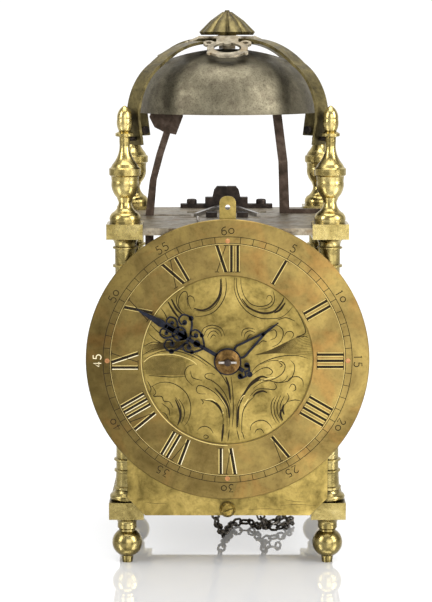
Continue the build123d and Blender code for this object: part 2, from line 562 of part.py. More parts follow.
def build_bell():
    """Bell on its stud, the two straps, the pierced crown and the fluted cap."""
    rim, top, wall = BELL_RIM_HEIGHT, BELL_TOP, BELL_WALL
    waist, shoulder = BELL_RADIUS - 4.0, BELL_RADIUS - 18.0
    outside = [
        (BELL_RADIUS, rim), (waist, rim + 19.2, 0.86), (shoulder, top - 9.3, 1.9), (0.0, top, 2.34)]
    inside = [
        (BELL_RADIUS - wall, rim), (waist - wall, rim + 18.6, 0.86),
        (shoulder - 0.8 * wall, top - 9.3 - 0.8 * wall, 1.9), (0.0, top - wall, 2.2),
    ]
    with BuildPart() as bell:
        add_turning(0, 0, outside)
        add_turning(0, 0, inside, Mode.SUBTRACT)
        with BuildSketch(level(top - 2 * wall)):
            Circle(BELL_STUD_RADIUS + SCREW_CLEARANCE)
        extrude(amount=4 * wall, mode=Mode.SUBTRACT)
    save(bell.part, "bell")

    save(make_strap(45, STRAP_CROWN), "bell_strap_lower")
    save(make_strap(-45, UPPER_STRAP_CROWN), "bell_strap_upper")

    finial_axis = HALF_PITCH * sqrt(2)
    with BuildPart() as strap_studs:
        for turn in (45, 135, 225, 315):
            across = Plane(origin=(0, CASE_Y, STRAP_STUD_HEIGHT),
                           z_dir=(cos(radians(turn)), sin(radians(turn)), 0))
            with BuildSketch(across.offset(STRAP_REACH - STRAP_THICKNESS / 2 - 2.0)):
                Circle(3.0)
            extrude(amount=2.0)
            with BuildSketch(across.offset(STRAP_REACH - STRAP_THICKNESS / 2)):
                Circle(STRAP_STUD_RADIUS)
            extrude(amount=finial_axis - FINIAL_NECK_RADIUS - STRAP_REACH + STRAP_THICKNESS / 2)
    save(strap_studs.part, "strap_studs")

    with BuildPart() as bell_nut:
        with BuildSketch(level(BELL_TOP)):
            Rectangle(BELL_NUT_ACROSS, BELL_NUT_ACROSS, rotation=20)
        extrude(amount=STRAP_CROWN - STRAP_THICKNESS / 2 - BELL_TOP)
        with BuildSketch(level(BELL_TOP - BELL_WALL - 3.0)):
            Circle(BELL_STUD_RADIUS)
        extrude(amount=CAP_BASE + 3.0 - BELL_TOP + BELL_WALL + 3.0)
        with BuildSketch(level(BELL_TOP - BELL_WALL - 3.4)):
            Rectangle(BELL_NUT_ACROSS, BELL_NUT_ACROSS)
        extrude(amount=2.6)
    save(bell_nut.part, "bell_stud")

    drop = radians(CROWN_SLOPE)
    with BuildPart() as crown:
        with BuildSketch(level(CROWN_BASE)):
            Circle(CROWN_HUB_RADIUS)
            Rectangle(CROWN_NECK_WIDTH, 2 * CROWN_BEND)
            Rectangle(2 * CROWN_BEND, CROWN_NECK_WIDTH)
            Circle(BELL_STUD_RADIUS + SCREW_CLEARANCE, mode=Mode.SUBTRACT)
        extrude(amount=CROWN_THICKNESS)
        for turn in (0, 90, 180, 270):
            out_x, out_y = sin(radians(turn)), -cos(radians(turn))
            slope = Plane(
                origin=(out_x * CROWN_BEND, CASE_Y + out_y * CROWN_BEND, CROWN_BASE + CROWN_THICKNESS),
                x_dir=(-out_y, out_x, 0),
                z_dir=(out_x * sin(drop), out_y * sin(drop), cos(drop)),
            )
            with BuildSketch(slope):
                with Locations((0, CROWN_THICKNESS / 2)):
                    Rectangle(CROWN_NECK_WIDTH, LOBE_START + 3.0, align=(Align.CENTER, Align.MAX))
                with Locations((0, -LOBE_START - LOBE_LENGTH / 2)):
                    Ellipse(LOBE_WIDTH / 2, LOBE_LENGTH / 2)
                with Locations((-EAR_X, -EAR_REACH), (EAR_X, -EAR_REACH)):
                    Circle(EAR_RADIUS)
                with Locations((-EAR_X, -EAR_REACH - 15.0), (EAR_X, -EAR_REACH - 15.0)):
                    Circle(1.6)
                with Locations((0, -EAR_REACH - LOBE_OPENING_LENGTH / 2)):
                    Ellipse(LOBE_OPENING_WIDTH / 2, LOBE_OPENING_LENGTH / 2, mode=Mode.SUBTRACT)
                with Locations((0, -EAR_REACH)):
                    Circle(2.6)
                with Locations((-EAR_X, -EAR_REACH), (EAR_X, -EAR_REACH)):
                    Circle(EAR_HOLE_RADIUS, mode=Mode.SUBTRACT)
            extrude(amount=-CROWN_THICKNESS)
    save(crown.part, "crown_ornament")

    with BuildPart() as top_finial:
        with BuildSketch(level(CAP_BASE - CAP_NECK_HEIGHT)):
            Circle(CAP_NECK_RADIUS)
        extrude(amount=CAP_NECK_HEIGHT)
        for share, lift in CAP_SECTIONS:
            with BuildSketch(level(CAP_BASE + lift * CAP_HEIGHT)):
                Circle(0.86 * CAP_RADIUS * share)
                with PolarLocations(0.80 * CAP_RADIUS * share, CAP_LOBES):
                    Ellipse(0.2 * CAP_RADIUS * share, 0.26 * CAP_RADIUS * share)
        loft(ruled=True)
        with BuildSketch(level(CAP_BASE + CAP_HEIGHT)):
            Circle(CAP_TIP)
        extrude(amount=1.2, taper=25)
        with BuildSketch(level(CAP_BASE - CAP_NECK_HEIGHT)):
            Circle(BELL_STUD_RADIUS + SCREW_CLEARANCE)
        extrude(amount=CAP_NECK_HEIGHT + 3.5, mode=Mode.SUBTRACT)
    save(top_finial.part, "top_finial")


def make_strap(turn, crown):
    """One hoop over the bell, from the finial at one corner to the one opposite."""
    diagonal = Plane(
        origin=(0, CASE_Y, 0),
        x_dir=(cos(radians(turn)), sin(radians(turn)), 0),
        z_dir=(sin(radians(turn)), -cos(radians(turn)), 0),
    )
    shoulder = STRAP_FOOT_HEIGHT + 25.0
    with BuildPart() as strap:
        with BuildSketch(diagonal):
            with BuildLine():
                for side in (-1, 1):
                    foot = (side * STRAP_REACH, STRAP_FOOT_HEIGHT)
                    hip = (side * (STRAP_REACH + 3.0), shoulder - 8.0)
                    bend = (side * (STRAP_REACH - 18.5), shoulder + 28.5)
                    brow = (side * 20.0, crown)
                    Line(foot, hip)
                    SagittaArc(hip, bend, -side * 6.0)
                    SagittaArc(bend, brow, -side * 4.4)
                    Line(brow, (0, crown))
            trace(line_width=STRAP_THICKNESS)
        extrude(amount=STRAP_WIDTH / 2, both=True)
        with BuildSketch(level(crown - STRAP_THICKNESS)):
            Circle(BELL_STUD_RADIUS + SCREW_CLEARANCE)
        extrude(amount=2 * STRAP_THICKNESS, mode=Mode.SUBTRACT)
        for side in (-1, 1):
            across = Plane(
                origin=diagonal.from_local_coords((side * (STRAP_REACH - 10.0), STRAP_STUD_HEIGHT, 0)),
                z_dir=diagonal.x_dir * side,
            )
            with BuildSketch(across):
                Circle(STRAP_STUD_RADIUS + SCREW_CLEARANCE)
            extrude(amount=20.0, mode=Mode.SUBTRACT)
    return strap.part


def build_bars():
    """Three upright bars between the plates; arms at the middle and rear carry side arbors."""
    through = {
        "movement_bar_front": (
            -BAR_SPACING, [great, second, escape, pallet, lifting], (0.0, LIFTING_X + ARM_OVERHANG)),
        "movement_bar_middle": (
            0.0, [great, second, escape, hoop, warning, fly, hammer_arbor, locking],
            (HAMMER_X - ARM_OVERHANG, LIFTING_X + ARM_OVERHANG)),
        "movement_bar_rear": (
            BAR_SPACING, [great, hoop, warning, fly, pallet, hammer_arbor, lifting, locking],
            (HAMMER_X - ARM_OVERHANG, LIFTING_X + ARM_OVERHANG)),
    }
    clear = {
        "movement_bar_front": [],
        "movement_bar_middle": [(pallet, ARBOR_RADIUS), (lifting, ARBOR_RADIUS)],
        "movement_bar_rear": [],
    }
    rises = {"movement_bar_front": 0.0, "movement_bar_middle": TENON_RISE, "movement_bar_rear": 0.0}
    for name, (y, pivots, (arm_left, arm_right)) in through.items():
        with BuildPart() as bar:
            with BuildSketch(facing_front(y + HALF_BAR)):
                with Locations((0, FLOOR_PLATE_TOP)):
                    Rectangle(BAR_WIDTH, TOP_PLATE_UNDERSIDE - FLOOR_PLATE_TOP,
                              align=(Align.CENTER, Align.MIN))
                with Locations((arm_left, GREAT_HEIGHT)):
                    Rectangle(arm_right - arm_left, ARM_HEIGHT, align=(Align.MIN, Align.CENTER))
                with Locations((0, BOTTOM_PLATE_UNDERSIDE)):
                    Rectangle(TENON_GAP - 2 * TENON_FIT, PLATE_THICKNESS, align=(Align.CENTER, Align.MIN))
                for side in (-1, 1):
                    with Locations((side * (BAR_WIDTH + TENON_GAP) / 4, TOP_PLATE_UNDERSIDE)):
                        Rectangle((BAR_WIDTH - TENON_GAP) / 2, PLATE_THICKNESS + rises[name],
                                  align=(Align.CENTER, Align.MIN))
                with Locations(*pivots):
                    Circle(PIVOT_RADIUS + PIVOT_CLEARANCE, mode=Mode.SUBTRACT)
                for place, radius in clear[name]:
                    with Locations(place):
                        Circle(radius + 0.8, mode=Mode.SUBTRACT)
            extrude(amount=BAR_THICKNESS)
            if y == -BAR_SPACING:
                with BuildSketch(facing_front(y - HALF_BAR, *dial_centre)):
                    Circle(STUD_RADIUS + 2.6)
                extrude(amount=1.5)
                with BuildSketch(facing_front(y - HALF_BAR, *dial_centre)):
                    Circle(STUD_RADIUS)
                extrude(amount=FRONT_BAR_FRONT - STUD_FRONT)
                with BuildSketch(Plane.YZ.offset(-20)):
                    with Locations((CASE_Y + PIN_Y, DIAL_CENTRE_HEIGHT)):
                        Circle(PIN_RADIUS + 0.05)
                extrude(amount=40, mode=Mode.SUBTRACT)
            if y == BAR_SPACING:
                with BuildSketch(facing_front(COUNT_REAR + 2.0, *count)):
                    Circle(COUNT_STUD_RADIUS)
                extrude(amount=COUNT_REAR + 2.0 - REAR_BAR_REAR)
        save(bar.part, name)


def build_hands():
    """Pierced minute hand, looped hour hand, domed collet and the taper pin."""
    with BuildPart() as minute_hand:
        with BuildSketch(facing_front(MINUTE_HAND_REAR, *dial_centre, MINUTE_HAND_ANGLE)):
            Circle(CANNON_RADIUS + 3.4)
            Rectangle(3.2, 22, align=(Align.CENTER, Align.MIN))
            for side in (-1, 1):
                for out, along, radius in SCROLL_EYES:
                    with Locations((side * out, along)):
                        Circle(radius)
            with BuildLine():
                Polyline((-1.5, 30), (-3.4, 47), (-1.6, 50.5), (0, MINUTE_HAND_LENGTH),
                         (1.6, 50.5), (3.4, 47), (1.5, 30), close=True)
            make_face()
            with Locations((0, 26), (0, 44)):
                Circle(3.0)
            with Locations((0, -7)):
                Rectangle(3.0, 10)
            with Locations((-3.0, -13.4), (3.0, -13.4)):
                Circle(3.2)
            Circle(CANNON_RADIUS + 0.05, mode=Mode.SUBTRACT)
            for side in (-1, 1):
                for out, along, radius in SCROLL_EYES:
                    with Locations((side * out, along)):
                        Circle(radius * 0.5, mode=Mode.SUBTRACT)
            with Locations((0, 26), (0, 44)):
                Circle(1.3, mode=Mode.SUBTRACT)
        extrude(amount=HAND_THICKNESS)
    save(minute_hand.part, "minute_hand")

    with BuildPart() as hour_hand:
        with BuildSketch(facing_front(HOUR_HAND_REAR, *dial_centre, HOUR_HAND_ANGLE)):
            Circle(HOUR_PIPE_RADIUS + 2.6)
            with BuildLine():
                Polyline((-2.2, 4), (-3.9, 24), (-2.6, 34), (0, HOUR_HAND_LENGTH),
                         (2.6, 34), (3.9, 24), (2.2, 4), close=True)
            make_face()
            with BuildLine():
                Polyline((-0.8, 11), (-2.3, 24), (-1.3, 32.6), (0, 37.6),
                         (1.3, 32.6), (2.3, 24), (0.8, 11), close=True)
            make_face(mode=Mode.SUBTRACT)
            Circle(HOUR_PIPE_RADIUS + 0.05, mode=Mode.SUBTRACT)
        extrude(amount=HAND_THICKNESS)
    save(hour_hand.part, "hour_hand")

    with BuildPart() as hand_collet:
        with BuildSketch(facing_front(COLLET_REAR, *dial_centre)):
            Circle(COLLET_RADIUS)
        extrude(amount=0.8)
        with BuildSketch(facing_front(COLLET_REAR - 0.8, *dial_centre)):
            Circle(COLLET_RADIUS)
        extrude(amount=COLLET_HEIGHT - 0.8, taper=62)
        with BuildSketch(facing_front(COLLET_REAR, *dial_centre)):
            Circle(STUD_RADIUS + PIPE_CLEARANCE)
        extrude(amount=COLLET_HEIGHT, mode=Mode.SUBTRACT)
    save(hand_collet.part, "hand_collet")

    with BuildPart() as hand_pin:
        with BuildSketch(Plane.YZ.offset(-6.0)):
            with Locations((CASE_Y + PIN_Y, DIAL_CENTRE_HEIGHT)):
                Circle(PIN_RADIUS)
        extrude(amount=12.0)
    save(hand_pin.part, "hand_pin")


def build_motion_work():
    """Minute wheel on its pipe and hour wheel on its pipe, about the stud at the dial's centre."""
    up = 90.0
    with BuildPart() as minute_wheel:
        with BuildSketch(facing_front(MINUTE_WHEEL_REAR, *dial_centre)):
            with BuildLine():
                half_tooth = 180 / REPORT_TEETH
                Polyline(*wheel_outline(REPORT_TEETH, REPORT_MODULE, -up + half_tooth), close=True)
            make_face()
        extrude(amount=WHEEL_THICKNESS)
        with BuildSketch(facing_front(MINUTE_WHEEL_REAR, *dial_centre)):
            Circle(CANNON_RADIUS)
        extrude(amount=MINUTE_WHEEL_REAR - COLLET_REAR)
        with BuildSketch(facing_front(MINUTE_WHEEL_REAR, *dial_centre)):
            Circle(STUD_RADIUS + PIPE_CLEARANCE)
        extrude(amount=MINUTE_WHEEL_REAR - COLLET_REAR, mode=Mode.SUBTRACT)
    save(minute_wheel.part, "minute_wheel")

    with BuildPart() as hour_wheel:
        add_crossed_wheel(wheel_outline(HOUR_TEETH, HOUR_MODULE, -up),
                          rim_inside(HOUR_TEETH, HOUR_MODULE), dial_centre, HOUR_WHEEL_REAR, 0, 8.5)
        with BuildSketch(facing_front(HOUR_WHEEL_REAR, *dial_centre)):
            Circle(HOUR_PIPE_RADIUS)
        extrude(amount=HOUR_WHEEL_REAR - HOUR_HAND_REAR + HAND_THICKNESS)
        with BuildSketch(facing_front(HOUR_WHEEL_REAR, *dial_centre)):
            Circle(HOUR_PIPE_BORE)
        extrude(amount=HOUR_WHEEL_REAR - HOUR_HAND_REAR + HAND_THICKNESS, mode=Mode.SUBTRACT)
    save(hour_wheel.part, "hour_wheel")

    with BuildPart() as report_wheel:
        with BuildSketch(facing_front(MINUTE_WHEEL_REAR, *great)):
            with BuildLine():
                Polyline(*wheel_outline(REPORT_TEETH, REPORT_MODULE, up), close=True)
            make_face()
        extrude(amount=WHEEL_THICKNESS)
        add_pinion(great, HOUR_WHEEL_REAR + 1.5, PINION_LENGTH,
                   pinion_outline(HOUR_PINION, HOUR_MODULE, up + 180 / HOUR_PINION))
        add_bar(great, MINUTE_WHEEL_REAR, HOUR_WHEEL_REAR + 1.5, 2.0)
        with BuildSketch(facing_front(MINUTE_WHEEL_REAR, *great)):
            RegularPolygon(PIVOT_RADIUS, ARBOR_SIDES)
        extrude(amount=WHEEL_THICKNESS + 2.0, mode=Mode.SUBTRACT)
    save(report_wheel.part, "report_wheel")


def build_going_train():
    """Great wheel with its arbor and sprocket, second wheel, escape wheel and pallets."""
    front, rear = FRONT_BAR_REAR, -HALF_BAR
    great_rear = front + 4.6
    to_second = direction(great, second)
    with BuildPart() as great_wheel:
        add_crossed_wheel(wheel_outline(GREAT_TEETH, GREAT_MODULE, to_second),
                          rim_inside(GREAT_TEETH, GREAT_MODULE), great, great_rear, ARBOR_RADIUS, 7.5)
    save(great_wheel.part, "going_great_wheel")
    with BuildPart() as great_arbor:
        add_bar(great, rear - END_SHAKE, front + END_SHAKE, ARBOR_RADIUS)
        add_bar(great, rear + BAR_THICKNESS / 2, MINUTE_WHEEL_REAR - WHEEL_THICKNESS - 2.0, PIVOT_RADIUS)
    save(great_arbor.part, "going_great_arbor")
    save(make_sprocket(SPROCKET_REAR, great), "going_sprocket")

    to_great = direction(second, great)
    to_escape = direction(second, escape)
    with BuildPart() as second_wheel:
        add_crossed_wheel(wheel_outline(SECOND_TEETH, SECOND_MODULE, to_escape),
                          rim_inside(SECOND_TEETH, SECOND_MODULE), second, SECOND_REAR, ARBOR_RADIUS)
    save(second_wheel.part, "second_wheel")
    with BuildPart() as second_arbor:
        add_bar(second, rear - END_SHAKE, front + END_SHAKE, ARBOR_RADIUS)
        add_bar(second, rear + BAR_THICKNESS / 2, front - BAR_THICKNESS / 2, PIVOT_RADIUS)
        add_pinion(second, great_rear + 1.4, PINION_LENGTH,
                   pinion_outline(SECOND_PINION, GREAT_MODULE, to_great + 180 / SECOND_PINION))
    save(second_arbor.part, "second_arbor")

    to_second = direction(escape, second)
    with BuildPart() as escape_wheel:
        add_crossed_wheel(escape_outline(), ESCAPE_RADIUS - ESCAPE_TOOTH - 2.2, escape,
                          ESCAPE_REAR, 0, 5.2, 1.4)
        add_bar(escape, rear - END_SHAKE, front + END_SHAKE, MIDDLE_ARBOR)
        add_bar(escape, rear + BAR_THICKNESS / 2, front - BAR_THICKNESS / 2, PIVOT_RADIUS)
        add_pinion(escape, SECOND_REAR + 1.4, PINION_LENGTH,
                   pinion_outline(ESCAPE_PINION, SECOND_MODULE, to_second + 180 / ESCAPE_PINION))
    save(escape_wheel.part, "escape_wheel")

    drop = pallet[1] - escape[1]
    with BuildPart() as pallets:
        with BuildSketch(facing_front(ESCAPE_REAR + 0.6, *pallet)):
            with BuildLine():
                Polyline((-4.0, 3.6), (4.0, 3.6), (18.2, -3.4), (19.2, -12.9), (15.9, -14.4),
                         (14.2, -7.4), (0, -3.4), (-14.2, -7.4), (-15.9, -14.4), (-19.2, -12.9),
                         (-18.2, -3.4), close=True)
            make_face()
        extrude(amount=2.6)
        add_bar(pallet, REAR_BAR_FRONT - END_SHAKE, front + END_SHAKE, MIDDLE_ARBOR)
        add_bar(pallet, CRUTCH_REAR, front - BAR_THICKNESS / 2, PIVOT_RADIUS)
        with BuildSketch(facing_front(CRUTCH_REAR, *pallet)):
            Circle(4.0)
            with Locations((0, 2)):
                Rectangle(3.0, CRUTCH_LENGTH, align=(Align.CENTER, Align.MAX))
        extrude(amount=1.6)
        with BuildSketch(facing_front(CRUTCH_REAR + 7.0, pallet[0], pallet[1] - CRUTCH_LENGTH + 4.0)):
            with Locations((-3.4, 0), (3.4, 0)):
                Rectangle(1.6, 4.0)
        extrude(amount=8.6)
        with BuildSketch(facing_front(CRUTCH_REAR, pallet[0], pallet[1] - CRUTCH_LENGTH + 4.0)):
            Rectangle(8.4, 4.0)
        extrude(amount=1.6)
    save(pallets.part, "pallets")


def escape_outline():
    """Corners of the escape wheel: undercut hooked teeth."""
    corners = []
    pitch = 360 / ESCAPE_TEETH
    for tooth in range(ESCAPE_TEETH):
        for radius, share in ((ESCAPE_RADIUS - ESCAPE_TOOTH, 0.0), (ESCAPE_RADIUS, 0.22),
                              (ESCAPE_RADIUS, 0.30), (ESCAPE_RADIUS - ESCAPE_TOOTH, 0.62)):
            angle = radians((tooth + share) * pitch)
            corners.append((radius * cos(angle), radius * sin(angle)))
    return corners


def make_sprocket(rear, centre):
    """Chain sprocket: two flanges, a groove and spikes that stay below the links."""
    flange = SPROCKET_CHAIN_RADIUS + 1.5
    groove = SPROCKET_CHAIN_RADIUS - LINK_WIDTH / 2 - 1.2
    with BuildPart() as sprocket:
        add_bar(centre, rear, rear - 1.6, flange, 24)
        add_bar(centre, rear, rear - SPROCKET_WIDTH, groove, 24)
        add_bar(centre, rear - SPROCKET_WIDTH + 1.6, rear - SPROCKET_WIDTH, flange, 24)
        with BuildSketch(facing_front(rear - SPROCKET_WIDTH / 2 + 0.7, *centre)):
            with PolarLocations(groove, 8):
                Rectangle(1.6, 1.4)
        extrude(amount=1.4)
        with BuildSketch(facing_front(rear, *centre)):
            RegularPolygon(ARBOR_RADIUS, ARBOR_SIDES)
        extrude(amount=SPROCKET_WIDTH, mode=Mode.SUBTRACT)
    return sprocket.part


def build_striking_train():
    """Great wheel with hammer pins, hoop wheel, warning wheel, fly and count wheel."""
    front, rear = HALF_BAR, REAR_BAR_FRONT
    great_rear = front + 5.6
    to_hoop = direction(great, hoop)
    with BuildPart() as great_wheel:
        add_crossed_wheel(wheel_outline(STRIKE_TEETH, STRIKE_MODULE, to_hoop),
                          rim_inside(STRIKE_TEETH, STRIKE_MODULE), great, great_rear, ARBOR_RADIUS, 7.5)
        with BuildSketch(facing_front(great_rear + HAMMER_PIN_LENGTH, *great)):
            with PolarLocations(HAMMER_PIN_CIRCLE, HAMMER_PINS):
                RegularPolygon(HAMMER_PIN_RADIUS, 6)
        extrude(amount=HAMMER_PIN_LENGTH)
    save(great_wheel.part, "strike_great_wheel")
    with BuildPart() as great_arbor:
        add_bar(great, rear - END_SHAKE, front + END_SHAKE, ARBOR_RADIUS)
        add_bar(great, COUNT_REAR + 1.0, 0.2, PIVOT_RADIUS)
        add_pinion(great, COUNT_REAR + 1.0, PINION_LENGTH,
                   pinion_outline(COUNT_PINION, COUNT_MODULE, -90 + 180 / COUNT_PINION))
    save(great_arbor.part, "strike_great_arbor")
    save(make_sprocket(STRIKE_SPROCKET_REAR, great), "strike_sprocket")

    with BuildPart() as hoop_wheel:
        add_crossed_wheel(wheel_outline(HOOP_TEETH, HOOP_MODULE, direction(hoop, warning)),
                          rim_inside(HOOP_TEETH, HOOP_MODULE), hoop, HOOP_REAR, 0)
        add_bar(hoop, rear - END_SHAKE, front + END_SHAKE, SLIM_ARBOR)
        add_bar(hoop, rear + BAR_THICKNESS, 0.2, PIVOT_RADIUS)
        add_pinion(hoop, great_rear + 1.4, PINION_LENGTH,
                   pinion_outline(HOOP_PINION, STRIKE_MODULE, direction(hoop, great) + 180 / HOOP_PINION))
    save(hoop_wheel.part, "hoop_wheel")

    with BuildPart() as warning_wheel:
        add_crossed_wheel(wheel_outline(WARNING_TEETH, WARNING_MODULE, direction(warning, fly)),
                          rim_inside(WARNING_TEETH, WARNING_MODULE), warning, WARNING_REAR, 0)
        add_bar(warning, rear - END_SHAKE, front + END_SHAKE, SLIM_ARBOR)
        add_bar(warning, rear + BAR_THICKNESS, 0.2, PIVOT_RADIUS)
        phase = direction(warning, hoop) + 180 / WARNING_PINION
        add_pinion(warning, HOOP_REAR + 1.4, PINION_LENGTH,
                   pinion_outline(WARNING_PINION, HOOP_MODULE, phase))
    save(warning_wheel.part, "warning_wheel")

    with BuildPart() as fly_vane:
        add_bar(fly, rear - END_SHAKE, front + END_SHAKE, SLIM_ARBOR)
        add_bar(fly, rear + BAR_THICKNESS, 0.2, PIVOT_RADIUS)
        add_pinion(fly, WARNING_REAR + 1.4, PINION_LENGTH,
                   pinion_outline(FLY_PINION, WARNING_MODULE, direction(fly, warning) + 180 / FLY_PINION))
        with BuildSketch(facing_front(FLY_REAR, *fly)):
            Rectangle(2 * FLY_REACH, 0.8)
        extrude(amount=FLY_LENGTH)
    save(fly_vane.part, "fly")

    with BuildPart() as count_wheel:
        with BuildSketch(facing_front(COUNT_REAR, *count)):
            with BuildLine():
                Polyline(*wheel_outline(COUNT_TEETH, COUNT_MODULE, 90), close=True)
            make_face()
            Circle(COUNT_STUD_RADIUS + PIVOT_CLEARANCE, mode=Mode.SUBTRACT)
        extrude(amount=WHEEL_THICKNESS)
        with BuildSketch(facing_front(COUNT_REAR + 1.6, *count)):
            Circle(COUNT_RIM)
            Circle(COUNT_RIM - 4.0, mode=Mode.SUBTRACT)
            blows = 0
            for hour in range(1, 12):
                blows += hour
                with Locations(Rot(0, 0, 360 * blows / COUNT_BLOWS) * Pos(COUNT_RIM, 0, 0)):
                    Rectangle(5.0, 1.8, mode=Mode.SUBTRACT)
        extrude(amount=1.6)
    save(count_wheel.part, "count_wheel")


def build_levers():
    """Hammer with its spring, lifting lever, locking lever and the bell's steady bar."""
    front, rear = HALF_BAR, REAR_BAR_FRONT
    stem_rear = HAMMER_Y + HAMMER_STEM_THICKNESS / 2
    half = HAMMER_STEM_WIDTH / 2
    tail_tip = -HAMMER_PIN_CIRCLE - HAMMER_PIN_RADIUS - 0.9
    with BuildPart() as hammer:
        add_bar(hammer_arbor, rear - END_SHAKE, front + END_SHAKE, 2.2)
        add_bar(hammer_arbor, rear + BAR_THICKNESS / 2, 0.2, PIVOT_RADIUS)
        with BuildSketch(facing_front(stem_rear)):
            with BuildLine():
                Polyline(
                    (HAMMER_X - half, GREAT_HEIGHT - HAMMER_TAIL),
                    (HAMMER_X + half, GREAT_HEIGHT - HAMMER_TAIL),
                    (HAMMER_X + half, PLATE_TOP - 2.0), (HAMMER_X + 5.4, PLATE_TOP + 25.2),
                    (HAMMER_X + 10.5, PLATE_TOP + 44.2), (HAMMER_X + 15.6, HEAD_BASE + 2.0),
                    (HAMMER_X + 10.4, HEAD_BASE + 2.0), (HAMMER_X + 5.3, PLATE_TOP + 44.2),
                    (HAMMER_X + 0.4, PLATE_TOP + 25.2), (HAMMER_X - half, PLATE_TOP - 2.0), close=True)
            make_face()
            with BuildLine():
                Polyline((HAMMER_X, GREAT_HEIGHT + 2.6), (tail_tip, GREAT_HEIGHT + 1.8),
                         (tail_tip, GREAT_HEIGHT - 1.8), (HAMMER_X, GREAT_HEIGHT - 2.6), close=True)
            make_face()
        extrude(amount=HAMMER_STEM_THICKNESS)
        with BuildSketch(facing_front(HAMMER_Y + HEAD_THICKNESS / 2)):
            with BuildLine():
                Polyline((HAMMER_X + 0.4, HEAD_BASE + 12.6), (HAMMER_X + 4.0, HEAD_BASE + 5.4),
                         (HAMMER_X + 11.0, HEAD_BASE + 1.8), (HAMMER_X + 19.4, HEAD_BASE),
                         (HAMMER_X + 24.4, HEAD_BASE + 13.0), (HAMMER_X + 22.0, HEAD_BASE + 22.0),
                         (HAMMER_X + 4.0, HEAD_BASE + 23.0), close=True)
            make_face()
        extrude(amount=HEAD_THICKNESS)
    save(hammer.part, "hammer")

    spring_top = GREAT_HEIGHT - HAMMER_TAIL + 14.0
    with BuildPart() as hammer_spring:
        with BuildSketch(facing_front(HAMMER_Y + SPRING_WIDTH / 2)):
            with BuildLine():
                Polyline(
                    (SPRING_X - SPRING_BLADE, FLOOR_PLATE_TOP), (SPRING_X + SPRING_FOOT, FLOOR_PLATE_TOP),
                    (SPRING_X + SPRING_FOOT, FLOOR_PLATE_TOP + 2.0), (SPRING_X, FLOOR_PLATE_TOP + 2.0),
                    (SPRING_X, spring_top), (SPRING_X - SPRING_BLADE, spring_top), close=True)
            make_face()
        extrude(amount=SPRING_WIDTH)
    save(hammer_spring.part, "hammer_spring")

    with BuildPart() as lifting_lever:
        add_bar(lifting, rear - END_SHAKE, FRONT_BAR_REAR + END_SHAKE, 2.0)
        add_bar(lifting, rear + BAR_THICKNESS / 2, LIFTING_FRONT, PIVOT_RADIUS)
        with BuildSketch(facing_front(LIFTING_FRONT + 2.0)):
            with Locations(lifting):
                Circle(3.4)
            with BuildLine():
                Polyline((LIFTING_X, GREAT_HEIGHT + 2.4), *LIFTING_NOSE,
                         (LIFTING_X, GREAT_HEIGHT - 2.4), close=True)
            make_face()
        extrude(amount=2.0)
        with BuildSketch(facing_front(34.0)):
            with BuildLine():
                Polyline((LIFTING_X - 2.0, GREAT_HEIGHT), (LIFTING_X + 2.0, GREAT_HEIGHT),
                         (LIFTING_X - 4.0, LIFTING_DETENT_HEIGHT),
                         (LIFTING_X - LIFTING_DETENT_REACH, LIFTING_DETENT_HEIGHT + 3.0),
                         (LIFTING_X - LIFTING_DETENT_REACH, LIFTING_DETENT_HEIGHT),
                         (LIFTING_X - 7.0, LIFTING_DETENT_HEIGHT - 3.0), close=True)
            make_face()
        extrude(amount=2.0)
    save(lifting_lever.part, "lifting_lever")

    with BuildPart() as locking_lever:
        add_bar(locking, rear - END_SHAKE, front + END_SHAKE, 2.0)
        add_bar(locking, COUNT_REAR + 3.0, 0.2, PIVOT_RADIUS)
        with BuildSketch(facing_front(COUNT_REAR + 2.4)):
            with Locations(locking):
                Circle(3.2)
            with BuildLine():
                Polyline((LOCKING_X, GREAT_HEIGHT + 2.2), *LOCKING_NOSE,
                         (LOCKING_X, GREAT_HEIGHT - 2.2), close=True)
            make_face()
        extrude(amount=1.6)
        with BuildSketch(facing_front(HOOP_REAR + 3.6)):
            with BuildLine():
                Polyline((LOCKING_X - 2.0, GREAT_HEIGHT), (LOCKING_X + 2.0, GREAT_HEIGHT),
                         *LOCKING_DETENT, close=True)
            make_face()
        extrude(amount=2.0)
    save(locking_lever.part, "locking_lever")

    with BuildPart() as steady:
        with BuildSketch(facing_front(STEADY_Y + STEADY_THICKNESS / 2)):
            with BuildLine():
                Polyline((STEADY_X, PLATE_TOP), (STEADY_FOOT, PLATE_TOP), (STEADY_FOOT, PLATE_TOP + 3.0),
                         (STEADY_X + 7.1, PLATE_TOP + 3.0), (STEADY_X + 6.9, PLATE_TOP + 8.0),
                         (STEADY_X + 5.6, PLATE_TOP + 37.0), (STEADY_X - 0.1, STEADY_TOP),
                         (STEADY_X - 6.7, STEADY_TOP), (STEADY_X - 1.0, PLATE_TOP + 37.0), close=True)
            make_face()
        extrude(amount=STEADY_THICKNESS)
    save(steady.part, "bell_steady_bar")


